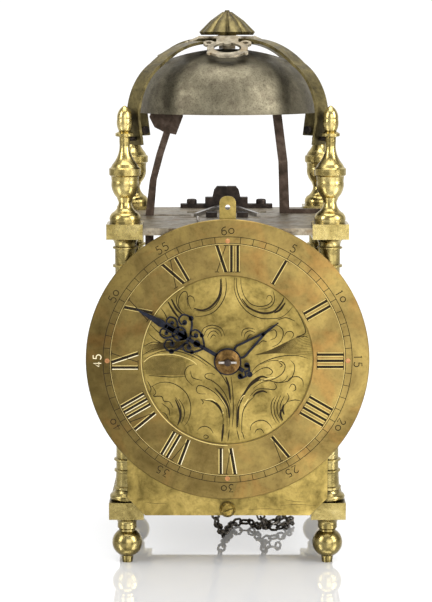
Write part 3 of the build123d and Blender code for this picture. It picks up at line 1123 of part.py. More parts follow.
def build_cock():
    """Suspension cock on the rear edge of the top plate, its screws, stays and the fret pin."""
    foot_half, step_half, hump_half = COCK_FOOT_HALF, COCK_STEP_HALF, COCK_HUMP_HALF
    base, rear = PLATE_TOP, BLOCK_FACE - 0.6
    foot, step, top = base + COCK_FOOT_HEIGHT, base + COCK_STEP_HEIGHT, base + COCK_HEIGHT
    with BuildPart() as pallet_cock:
        with BuildSketch(facing_front(rear)):
            with BuildLine():
                Polyline(
                    (-foot_half, base), (foot_half, base), (foot_half, foot), (step_half, foot),
                    (step_half, step), (hump_half + 0.8, step), (hump_half - 0.4, top - 2.8),
                    (hump_half - 2.6, top), (2.6 - hump_half, top), (0.4 - hump_half, top - 2.8),
                    (-hump_half - 0.8, step), (-step_half, step), (-step_half, foot), (-foot_half, foot),
                    close=True)
            make_face()
            with Locations((0, base)):
                Rectangle(8.0, 4.6, align=(Align.CENTER, Align.MIN), mode=Mode.SUBTRACT)
        extrude(amount=COCK_DEPTH)
        with BuildSketch(level(top, 0, rear)):
            Rectangle(1.0, 5.0, align=(Align.CENTER, Align.MAX))
        extrude(amount=-7.0, mode=Mode.SUBTRACT)
        with BuildSketch(level(base, 0, rear - COCK_DEPTH / 2)):
            with Locations((-COCK_SCREW_X, 0), (COCK_SCREW_X, 0)):
                Circle(1.8)
        extrude(amount=COCK_FOOT_HEIGHT, mode=Mode.SUBTRACT)
    save(pallet_cock.part, "pallet_cock")

    with BuildPart() as cock_screws:
        with BuildSketch(level(foot, 0, rear - COCK_DEPTH / 2)):
            with Locations((-COCK_SCREW_X, 0), (COCK_SCREW_X, 0)):
                Circle(3.8)
        extrude(amount=3.6)
        fillet(cock_screws.faces().sort_by(Axis.Z)[-2:].edges(), 1.4)
        with BuildSketch(level(base, 0, rear - COCK_DEPTH / 2)):
            with Locations((-COCK_SCREW_X, 0), (COCK_SCREW_X, 0)):
                Circle(1.7)
        extrude(amount=3.0)
        with BuildSketch(level(foot + 3.6, 0, rear - COCK_DEPTH / 2)):
            with Locations((-COCK_SCREW_X, 0), (COCK_SCREW_X, 0)):
                Rectangle(8.0, 1.0, rotation=30)
        extrude(amount=-1.2, mode=Mode.SUBTRACT)
    save(cock_screws.part, "cock_screws")

    stay_start = rear - COCK_DEPTH - 0.3
    with BuildPart() as stay_wires:
        for side in (-1, 1):
            run = Vector(side * 17.0, -(stay_start - 4.0), 0)
            flat = Plane(
                origin=(side * 5.5, CASE_Y + stay_start, base + 1.2),
                x_dir=run, z_dir=Vector(0, 0, 1))
            with BuildSketch(flat):
                Rectangle(run.length, 2.4, align=(Align.MIN, Align.CENTER))
            extrude(amount=1.2, both=True)
    save(stay_wires.part, "stay_wires")

    with BuildPart() as fret_pin:
        with BuildSketch(level(PLATE_TOP, -20.0, -BLOCK_FACE + 3.0)):
            Circle(0.9)
        extrude(amount=8.0)
    save(fret_pin.part, "fret_pin")


def link_corners(length, width, corner):
    """Corners of a long octagon, centred."""
    x, y = length / 2, width / 2
    return [
        (x, y - corner), (x - corner, y), (corner - x, y), (-x, y - corner),
        (-x, corner - y), (corner - x, -y), (x - corner, -y), (x, corner - y),
    ]


def build_chain():
    """Chain over the going sprocket, down through the bottom plate and along the floor."""
    radius = SPROCKET_CHAIN_RADIUS
    y = CASE_Y + CHAIN_Y
    top = GREAT_HEIGHT + radius
    lay = CHAIN_LAY_HEIGHT
    points = [
        (40, 50, lay), (49, 34, lay), (41, 16, lay), (28, 13, lay + 1.0),
        (25.5, y + 9, 17), (CHAIN_RIGHT_X, y + CHAIN_SLANT, 40), (radius, y, 70), (radius, y, top),
        (-radius, y, top), (-radius, y, 70), (CHAIN_SLANT - radius, y + CHAIN_SLANT, 40), (-7.5, y + 4, 17),
        (-3, y + 20, lay), (4, y + 50, lay), (14, y + 69, lay), (22, y + 44, lay),
        (31, y + 27, lay + 6.5), (39, y + 40, lay + 6.5),
    ]
    bends = [9, 9, 7, 7, 14, 30, radius - 0.2, radius - 0.2, 60, 30, 9, 14, 12, 8, 9, 6]
    with BuildLine() as route:
        FilletPolyline(*points, radius=bends)
    path = route.wire()
    step = LINK_LENGTH - 2 * LINK_WIRE - LINK_PLAY
    count = int(path.length / step)
    side = Vector(0, 0, 1)
    half_wire = LINK_WIRE / 2
    with BuildPart() as winding_chain:
        for number in range(count):
            share = (number + 0.5) / count
            along = path % share
            side = (side - along * side.dot(along)).normalized()
            roll = 45 + 90 * (number % 2)
            facing = side.rotate(Axis((0, 0, 0), along), roll)
            with BuildSketch(Plane(origin=path @ share, x_dir=along, z_dir=facing)):
                with BuildLine():
                    Polyline(*link_corners(LINK_LENGTH, LINK_WIDTH, 2.2), close=True)
                make_face()
                with BuildLine():
                    inner = link_corners(LINK_LENGTH - 2 * LINK_WIRE, LINK_WIDTH - 2 * LINK_WIRE, 1.3)
                    Polyline(*inner, close=True)
                make_face(mode=Mode.SUBTRACT)
        extrude(amount=half_wire, both=True)
    save(winding_chain.part, "winding_chain")


os.makedirs("parts", exist_ok=True)
build_frame()
build_plates()
build_dial()
build_bell()
build_bars()
build_hands()
build_motion_work()
build_going_train()
build_striking_train()
build_levers()
build_cock()
build_chain()
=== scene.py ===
import math
import bmesh
import bpy
from mathutils import Matrix, Vector


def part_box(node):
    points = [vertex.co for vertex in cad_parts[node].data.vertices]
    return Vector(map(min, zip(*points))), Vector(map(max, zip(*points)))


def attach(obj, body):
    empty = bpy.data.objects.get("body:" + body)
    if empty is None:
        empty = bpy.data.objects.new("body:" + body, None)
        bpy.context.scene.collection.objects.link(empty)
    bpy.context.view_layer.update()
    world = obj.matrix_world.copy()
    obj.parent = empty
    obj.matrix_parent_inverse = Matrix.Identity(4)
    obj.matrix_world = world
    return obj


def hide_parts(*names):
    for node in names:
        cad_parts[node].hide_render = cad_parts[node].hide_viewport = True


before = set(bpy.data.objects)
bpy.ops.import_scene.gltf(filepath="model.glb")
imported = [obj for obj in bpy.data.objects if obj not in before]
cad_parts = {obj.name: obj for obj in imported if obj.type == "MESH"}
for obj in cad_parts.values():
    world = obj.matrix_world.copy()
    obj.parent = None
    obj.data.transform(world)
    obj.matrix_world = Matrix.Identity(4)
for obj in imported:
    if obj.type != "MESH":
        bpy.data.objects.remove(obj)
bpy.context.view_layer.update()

# ---- sizes in millimetres, in the frame's own axes ----
MM = 0.001
DIAL_HEIGHT = 143.2                                # of the dial's centre above the floor
RING_THICKNESS = 2.0
RING_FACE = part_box("chapter_ring")[0].y / MM       # depth of the ring's front face
DIAL_FACE = RING_FACE + RING_THICKNESS             # depth of the engraved plate's front face
STAND_OUT = 0.035                                  # of wax and painted highlight strokes, out of the metal
LAYER = 0.004                                      # cuts that cross lie this far over each other


# ---- materials ----
def linear(code):
    """sRGB hex code to a linear colour."""
    parts = [int(code[i:i + 2], 16) / 255 for i in (1, 3, 5)]
    return [c / 12.92 if c <= 0.04045 else ((c + 0.055) / 1.055) ** 2.4 for c in parts] + [1.0]


def add_node(tree, kind, inputs=None, **settings):
    """A shader node with its settings, and its inputs set to a value or linked."""
    node = tree.nodes.new(kind)
    for key, value in settings.items():
        setattr(node, key, value)
    for key, value in (inputs or {}).items():
        if isinstance(value, bpy.types.NodeSocket):
            tree.links.new(value, node.inputs[key])
        else:
            node.inputs[key].default_value = value
    return node


def new_material(name):
    """An empty material and its node tree."""
    material = bpy.data.materials.new(name)
    material.use_nodes = True
    material.node_tree.nodes.clear()
    return material, material.node_tree


def grain(tree, size_mm, detail=3.0, roughness=0.55, stretch=(1, 1, 1), distortion=0.0):
    """Noise on the piece's own coordinates whose grain is about size_mm."""
    place = add_node(tree, "ShaderNodeTexCoord")
    turn = add_node(tree, "ShaderNodeMapping", {"Vector": place.outputs["Object"], "Scale": stretch})
    return add_node(tree, "ShaderNodeTexNoise", {
        "Vector": turn.outputs["Vector"], "Scale": 1000.0 / size_mm, "Detail": detail,
        "Roughness": roughness, "Distortion": distortion}).outputs["Fac"]


def ramp(tree, factor, stops):
    """Colour ramp of (position, hex code or grey) stops."""
    node = add_node(tree, "ShaderNodeValToRGB", {"Fac": factor})
    band = node.color_ramp
    while len(band.elements) < len(stops):
        band.elements.new(0.5)
    for element, (position, value) in zip(band.elements, stops):
        element.position = position
        element.color = linear(value) if isinstance(value, str) else (value, value, value, 1)
    return node.outputs["Color"]


def mix(tree, factor, first, second, blend="MIX"):
    """Two colours mixed by a factor, each a value or a socket."""
    node = add_node(tree, "ShaderNodeMix", data_type="RGBA", blend_type=blend)
    for key, value in (("Factor", factor), ("A", first), ("B", second)):
        socket = [s for s in node.inputs if s.name == key and s.enabled][0]
        if isinstance(value, bpy.types.NodeSocket):
            tree.links.new(value, socket)
        else:
            socket.default_value = value
    return [s for s in node.outputs if s.enabled][0]


def along(tree, direction, low_mm, high_mm):
    """0 to 1 across the clock in a direction, from low_mm to high_mm."""
    place = add_node(tree, "ShaderNodeTexCoord")
    reach = add_node(tree, "ShaderNodeVectorMath",
                     {0: place.outputs["Object"], 1: direction}, operation="DOT_PRODUCT")
    return add_node(tree, "ShaderNodeMapRange", {
        "Value": reach.outputs["Value"], "From Min": low_mm * MM, "From Max": high_mm * MM}).outputs["Result"]


def old_metal(name, tones, patch_mm, rough, dirt_and_shade="#241d10", dirt_amount=0.4, dirt_mm=2.2,
              pits_mm=0.8, pits=0.12, metallic=1.0, hollow_shade=0.5, stain=None, side_shade=None):
    """Worn metal: slow patches of tone, specks of dirt, fine pits, and painted shade darkening the hollows.

    stain is (hex code, patch size, amount) of a second tarnish, and the last argument is
    (direction, low, high, darkest) of painted shade that darkens the clock slowly towards one side or end.
    """
    material, tree = new_material(name)
    patches = grain(tree, patch_mm, 5.0, 0.62, distortion=0.5)
    steps = [(0.32 + 0.36 * i / (len(tones) - 1), tone) for i, tone in enumerate(tones)]
    colour = ramp(tree, patches, steps)
    if stain:
        code, size, amount = stain
        mask = ramp(tree, grain(tree, size, 4.0, 0.6, distortion=0.8), [(0.5, 0.0), (0.66, amount)])
        colour = mix(tree, mask, colour, linear(code))
    mask = ramp(tree, grain(tree, dirt_mm, 6.0, 0.7), [(0.48, 0.0), (0.74, dirt_amount)])
    colour = mix(tree, mask, colour, linear(dirt_and_shade))
    # painted shade: the colour darkens slowly across the clock towards one side or end
    if side_shade:
        direction, low, high, darkest = side_shade
        shade = ramp(tree, along(tree, direction, low, high), [(0.0, darkest), (1.0, 1.0)])
        colour = mix(tree, 1.0, colour, shade, "MULTIPLY")
    # painted shade: ambient occlusion darkens corners and recesses towards the dirt colour
    if hollow_shade:
        cover = add_node(tree, "ShaderNodeAmbientOcclusion", {"Distance": 0.006}, samples=6)
        mask = ramp(tree, cover.outputs["AO"], [(0.25, hollow_shade), (0.85, 0.0)])
        colour = mix(tree, mask, colour, linear(dirt_and_shade))
    low, high = rough
    wear = add_node(tree, "ShaderNodeMapRange", {
        "Value": grain(tree, 5.0), "From Min": 0.3, "From Max": 0.7, "To Min": low, "To Max": high})
    bump = add_node(tree, "ShaderNodeBump", {
        "Height": grain(tree, pits_mm, 3.0, 0.6), "Strength": pits, "Distance": 0.0003})
    shader = add_node(tree, "ShaderNodeBsdfPrincipled", {
        "Base Color": colour, "Metallic": metallic, "Roughness": wear.outputs["Result"],
        "Normal": bump.outputs["Normal"]})
    add_node(tree, "ShaderNodeOutputMaterial", {"Surface": shader.outputs["BSDF"]})
    return material


def plain(name, code, roughness, metallic=0.0):
    """One colour and one roughness, for what is too narrow to show a pattern."""
    material, tree = new_material(name)
    shader = add_node(tree, "ShaderNodeBsdfPrincipled", {
        "Base Color": linear(code), "Roughness": roughness, "Metallic": metallic,
        "Specular IOR Level": 0.5 if metallic else 0.15})
    add_node(tree, "ShaderNodeOutputMaterial", {"Surface": shader.outputs["BSDF"]})
    return material


# cast and turned brass: polished on the swells, painted shade in the hollows and towards the floor, grain of
# the sand mould
brass_cast = old_metal("aged_cast_brass_polished", ["#8a7a48", "#b09e63", "#c6b57c"], 12.0, (0.2, 0.34),
                       dirt_amount=0.35, hollow_shade=0.8, pits_mm=1.2, pits=0.12,
                       side_shade=((0, 0, 1), 0, 230, 0.6))
# hammered sheet brass, rubbed flat: painted shade darkens the left side, golden on the right, faint hammer
# marks
brass_ring = old_metal("worn_sheet_brass_satin", ["#705e34", "#8b7745", "#a28c50"], 26.0, (0.34, 0.5),
                       dirt_mm=3.0, dirt_amount=0.3, pits_mm=2.2, pits=0.22,
                       stain=("#b07d42", 30.0, 0.3), side_shade=((1, 0, 0.15), -110, 90, 0.26))
# engraved dial plate brass: painted shade darkens it towards the left
brass_dial = old_metal("worn_engraved_brass_satin", ["#6f6033", "#9c884b", "#bba45f"], 17.0, (0.34, 0.5),
                       dirt_mm=2.4, dirt_amount=0.4, pits_mm=1.8, pits=0.2,
                       side_shade=((1, 0, -0.2), -130, 50, 0.6))
brass_plate = old_metal("worn_plate_brass_dull", ["#5f5029", "#83703a", "#9c8747"], 10.0, (0.4, 0.56),
                        dirt_amount=0.5)
brass_wheel = old_metal("cut_wheel_brass_dull", ["#65552b", "#85723a"], 8.0, (0.38, 0.55))
brass_strap = old_metal("aged_strap_brass_dull", ["#4e4630", "#6b6140", "#857951"], 10.0, (0.36, 0.56),
                        dirt_amount=0.6, hollow_shade=0.4)
brass_dark = old_metal("screw_brass_browned", ["#4a3c1e", "#7b6934", "#a99150"], 4.0, (0.28, 0.44),
                       dirt_amount=0.55, hollow_shade=0.8)
# tinned brass: grey-white metal with brown showing through where it is rubbed
tinned = old_metal("tinned_brass_plate_dull", ["#837a68", "#a59b86", "#c0b7a2"], 5.0, (0.36, 0.55),
                   dirt_and_shade="#3a3028", dirt_amount=0.45, stain=("#8a7045", 14.0, 0.5))
tinned_plate = old_metal("tinned_top_plate_rubbed", ["#6a6252", "#8a8170", "#a59c88"], 7.0, (0.4, 0.58),
                         dirt_and_shade="#3a3028", dirt_amount=0.5, stain=("#7c6038", 16.0, 0.55))
# bell metal: sandy fine skin left by the mould, painted shade darkening the crown, paler lower down
bell_bronze = old_metal("bell_bronze_sandy", ["#5c5748", "#6b6554", "#7b7562"], 14.0, (0.42, 0.58),
                        dirt_and_shade="#2c251d", dirt_amount=0.75, dirt_mm=1.1, pits_mm=0.9, pits=0.3, hollow_shade=0.3,
                        stain=("#4b4238", 9.0, 0.4), side_shade=((0, 0, -1), -350, -318, 0.8))
steel_dark = old_metal("forged_steel_browned", ["#211d1a", "#332c28", "#463c35"], 6.0, (0.4, 0.6),
                       dirt_and_shade="#120e0c", dirt_amount=0.5, metallic=0.85)
steel_warm = old_metal("forged_steel_rusted_brown", ["#33291f", "#493b31", "#5e5045"], 7.0, (0.45, 0.65),
                       dirt_and_shade="#17110d", dirt_amount=0.5, metallic=0.75)
steel_blue = old_metal("blued_steel_blackened", ["#0e0f14", "#181a22", "#262832"], 5.0, (0.32, 0.46),
                       dirt_and_shade="#1d1712", dirt_amount=0.35, metallic=0.85)
steel_grey = old_metal("worn_steel_chain_grey", ["#45413c", "#625d57", "#7b766f"], 4.0, (0.36, 0.52),
                       dirt_and_shade="#17130f", dirt_amount=0.4, metallic=0.9)
steel_bright = old_metal("bright_steel_wire", ["#85807a", "#b3aea8"], 4.0, (0.26, 0.42))
copper_worn = old_metal("worn_copper_rivets", ["#8f6440", "#ae7c52", "#c2946a"], 3.0, (0.4, 0.55),
                        dirt_amount=0.3, hollow_shade=0.0)
collet_brass = old_metal("turned_collet_bronze_brown", ["#3d2c1a", "#5b4526", "#745b35"], 3.5, (0.34, 0.5),
                         dirt_and_shade="#25170e", dirt_amount=0.6)
wax_dark = plain("black_wax_filling", "#1f180a", 0.75)
wax_brown = plain("brown_dirt_in_cuts", "#3b3014", 0.8)
# painted highlights: pale strokes and bright brass strokes along the edges of cuts and rims
pale_highlight_paint = plain("pale_painted_highlight", "#d6caa6", 0.8)
highlight_brass = plain("painted_highlight_brass", "#c6b272", 0.32, 1.0)

USES = {
    "bell": bell_bronze, "bell_strap_lower": brass_strap, "bell_strap_upper": brass_strap,
    "strap_studs": steel_dark, "bell_stud": tinned, "crown_ornament": tinned, "top_finial": brass_strap,
    "top_plate": tinned_plate, "bottom_plate": brass_plate,
    "dial_plate": brass_dial, "chapter_ring": brass_ring,
    "ring_rivets": copper_worn, "dial_screw": brass_dark, "hand_collet": collet_brass,
    "hand_pin": steel_bright, "fret_pin": steel_bright, "stay_wires": steel_bright,
    "pallet_cock": steel_dark, "cock_screws": steel_dark, "bell_steady_bar": steel_warm,
    "hammer": steel_warm, "hammer_spring": steel_dark, "winding_chain": steel_grey,
    "minute_hand": steel_blue, "hour_hand": steel_blue,
    "movement_bar_front": steel_dark, "movement_bar_middle": steel_dark, "movement_bar_rear": steel_dark,
    "going_great_arbor": steel_dark, "second_arbor": steel_dark, "strike_great_arbor": steel_dark,
    "pallets": steel_dark, "lifting_lever": steel_dark, "locking_lever": steel_dark,
}
for name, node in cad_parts.items():
    cast = name.startswith(("pillar_", "finial_", "foot_"))
    node.data.materials.clear()
    node.data.materials.append(brass_cast if cast else USES.get(name, brass_wheel))


# ---- making pieces ----
def piece(name, mesh, material, body="frame"):
    """An object of the bmesh, riding on a body unless it has none."""
    data = bpy.data.meshes.new(name)
    bmesh.ops.recalc_face_normals(mesh, faces=mesh.faces)
    mesh.to_mesh(data)
    mesh.free()
    thing = bpy.data.objects.new(name, data)
    bpy.context.scene.collection.objects.link(thing)
    data.materials.append(material)
    if body:
        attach(thing, body)
    return thing


def on_dial(x, up, depth):
    """A point on the dial, x to the right of and up from its centre, in metres."""
    return Vector((x, depth, DIAL_HEIGHT + up)) * MM


def smooth(points, steps=5):
    """A rounder line through the same points."""
    ends = [points[0]] + list(points) + [points[-1]]
    line = []
    for a, b, c, d in zip(ends, ends[1:], ends[2:], ends[3:]):
        for i in range(steps):
            t = i / steps
            line.append(tuple(
                b[k] + 0.5 * t * (c[k] - a[k] + t * (2 * a[k] - 5 * b[k] + 4 * c[k] - d[k]
                                                     + t * (3 * (b[k] - c[k]) + d[k] - a[k])))
                for k in (0, 1)))
    return line + [tuple(points[-1])]


def draw_strip(mesh, points, width, front, back, taper=None):
    """A flat strip drawn along points (x, up), from depth front to depth back."""
    last = len(points) - 1
    edge, flat = None, []
    for i, (x, up) in enumerate(points):
        (x0, up0), (x1, up1) = points[max(i - 1, 0)], points[min(i + 1, last)]
        length = math.hypot(x1 - x0, up1 - up0) or 1.0
        half = width / 2 * (taper(i / last) if taper else 1.0)
        side, rise = -(up1 - up0) / length * half, (x1 - x0) / length * half
        ends = (on_dial(x + side, up + rise, front), on_dial(x - side, up - rise, front))
        if edge is None:
            edge = mesh.edges.new([mesh.verts.new(p) for p in ends])
            order = list(edge.verts)
            continue
        made = bmesh.ops.extrude_edge_only(mesh, edges=[edge])["geom"]
        new_edge = [g for g in made if isinstance(g, bmesh.types.BMEdge)][0]
        face = [g for g in made if isinstance(g, bmesh.types.BMFace)][0]
        pairs = [[e.other_vert(v) for e in v.link_edges if e.other_vert(v) in new_edge.verts][0]
                 for v in order]
        for vert, p in zip(pairs, ends):
            vert.co = p
        edge, order = new_edge, pairs
        flat.append(face)
    deep = bmesh.ops.extrude_face_region(mesh, geom=flat)["geom"]
    bmesh.ops.translate(mesh, verts=[g for g in deep if isinstance(g, bmesh.types.BMVert)],
                        vec=(0, (back - front) * MM, 0))


def cut_line(mesh, points, width, face, taper=None):
    """A filled line of engraving on the plate or ring whose front is at depth face."""
    draw_strip(mesh, points, width, face - STAND_OUT, face + STAND_OUT, taper)


def arc(centre_x, centre_up, radius, start, end, steps=None):
    """Points on an arc; angles are clockwise from the top, in degrees."""
    steps = steps or max(3, int(abs(end - start) / 6))
    turns = [math.radians(start + (end - start) * i / steps) for i in range(steps + 1)]
    return [(centre_x + radius * math.sin(a), centre_up + radius * math.cos(a)) for a in turns]


def turned(points, degrees):
    """Points drawn upright at twelve o'clock, turned clockwise round the dial's centre."""
    c, s = math.cos(math.radians(degrees)), math.sin(math.radians(degrees))
    return [(x * c + up * s, -x * s + up * c) for x, up in points]


def swell(part):
    """Width of a graver's cut: thin where it starts and ends."""
    return 0.4 + 0.6 * math.sin(math.pi * min(max(part, 0.0), 1.0))


# ---- chapter ring: minute track, hour numerals and minute figures ----
TRACK_INNER, TRACK_OUTER = 79.4, 83.8
TRACK_LINE = 0.42
HIGHLIGHT_RIM = 58.1              # radius of a painted highlight on the ring's inner edge, lower left
NUMERAL_FOOT, NUMERAL_TOP = 60.2, 78.0
STEM_WIDTH, LEG_WIDTH, HAIRLINE = 2.5, 2.7, 0.5
SERIF_STEM, SERIF_LEG = 1.9, 1.5    # half lengths of the hairlines across a numeral's ends
dark, pale_highlight, highlight_strips = bmesh.new(), bmesh.new(), bmesh.new()
for radius in (TRACK_INNER, TRACK_OUTER):
    cut_line(dark, arc(0, 0, radius, 0, 360, 180), TRACK_LINE, RING_FACE)
# painted highlights: a thin bright line inside the minute track, and a broader one on the ring's inner edge
# at lower left
cut_line(highlight_strips, arc(0, 0, TRACK_INNER - TRACK_LINE, 0, 360, 180), 0.22, RING_FACE)
cut_line(highlight_strips, arc(0, 0, HIGHLIGHT_RIM, 180, 330, 90), 0.5, RING_FACE)
for minute in range(60):
    if minute % 15:            # the rivets take the place of every fifteenth line
        cut_line(dark, turned([(0, TRACK_INNER), (0, TRACK_OUTER)], minute * 6), TRACK_LINE, RING_FACE)


def numeral_stem(low, high, width, angle):
    """A thick cut of a numeral: a dark floor between painted highlights on its edges, a pale painted
    highlight on the left edge of the lower-left numerals.
    """
    (x1, u1), (x2, u2) = low, high
    length = math.hypot(x2 - x1, u2 - u1)
    nx, nu = (u2 - u1) / length, -(x2 - x1) / length
    cut_line(dark, turned([low, high], angle), width * 0.66, RING_FACE)
    # painted highlight: on the lower-left numerals the left edge gets a pale stroke, all other edges bright
    # brass strokes
    lit_left_edge = 150 < angle < 290
    for side in (-1, 1):
        offset = side * width * 0.46
        cut_line(pale_highlight if lit_left_edge and side < 0 else highlight_strips,
                 turned([(x1 + nx * offset, u1 + nu * offset), (x2 + nx * offset, u2 + nu * offset)], angle),
                 0.5 if lit_left_edge else 0.36, RING_FACE)


def hairline(low, high, angle):
    """A thin cut of a numeral."""
    cut_line(dark, turned([low, high], angle), HAIRLINE, RING_FACE)


WIDTHS = {"I": 4.2, "V": 9.2, "X": 9.2}
LEG_INSET = 1.6                # of the legs of V and X from the edges of their widths
for hour, figure in enumerate(["XII", "I", "II", "III", "IIII", "V", "VI", "VII", "VIII", "IX", "X", "XI"]):
    angle = hour * 30
    x = -sum(WIDTHS[c] for c in figure) / 2
    for c in figure:
        middle, reach = x + WIDTHS[c] / 2, WIDTHS[c] / 2 - LEG_INSET
        x += WIDTHS[c]
        if c == "I":
            numeral_stem((middle, NUMERAL_FOOT), (middle, NUMERAL_TOP), STEM_WIDTH, angle)
            for end in (NUMERAL_FOOT, NUMERAL_TOP):
                hairline((middle - SERIF_STEM, end), (middle + SERIF_STEM, end), angle)
            continue
        foot = middle if c == "V" else middle + reach
        numeral_stem((foot, NUMERAL_FOOT), (middle - reach, NUMERAL_TOP), LEG_WIDTH, angle)
        hairline((2 * middle - foot, NUMERAL_FOOT), (middle + reach, NUMERAL_TOP), angle)
        for side in (-1, 1):
            for end in (NUMERAL_TOP, NUMERAL_FOOT) if c == "X" else (NUMERAL_TOP,):
                hairline((middle + side * reach - SERIF_LEG, end),
                         (middle + side * reach + SERIF_LEG, end), angle)

# minute figures, each drawn in a box 3.4 wide and about 5.3 high, round the middle below
FIGURE_RADIUS, FIGURE_PITCH = 87.6, 4.9
FIGURE_MIDDLE = (1.7, 2.6)
FIGURE_LINE = 0.62
FIGURES = {
    "0": [arc(1.7, 2.7, 1.75, 0, 360, 20)],
    "1": [[(0.9, 4.6), (1.7, 5.4), (1.7, 0)]],
    "2": [arc(1.6, 3.9, 1.4, -70, 120, 10) + [(0.3, 0.1), (3.3, 0.1)]],
    "3": [[(0.4, 5.3), (2.9, 5.3), (1.5, 3.3)] + arc(1.5, 1.7, 1.6, 0, 230, 12)],
    "4": [[(2.4, 0), (2.4, 5.3), (0.1, 1.6), (3.3, 1.6)]],
    "5": [[(3.0, 5.4), (0.9, 5.4), (0.7, 3.2)] + arc(1.6, 1.75, 1.7, -25, 235, 12)],
    "6": [arc(2.9, 2.6, 2.8, 0, -80, 8) + arc(1.75, 1.6, 1.55, -70, 290, 18)],
}
for step in range(1, 13):
    label = str(step * 5)
    start = -(len(label) - 1) * FIGURE_PITCH / 2 - FIGURE_MIDDLE[0]
    for i, c in enumerate(label):
        for line in FIGURES[c]:
            placed = [(start + i * FIGURE_PITCH + x, FIGURE_RADIUS - FIGURE_MIDDLE[1] + up) for x, up in line]
            # the figure 45 is a pale painted highlight; the other figures are black wax cuts
            cut_line(pale_highlight if label == "45" else dark, turned(placed, step * 30), FIGURE_LINE, RING_FACE)

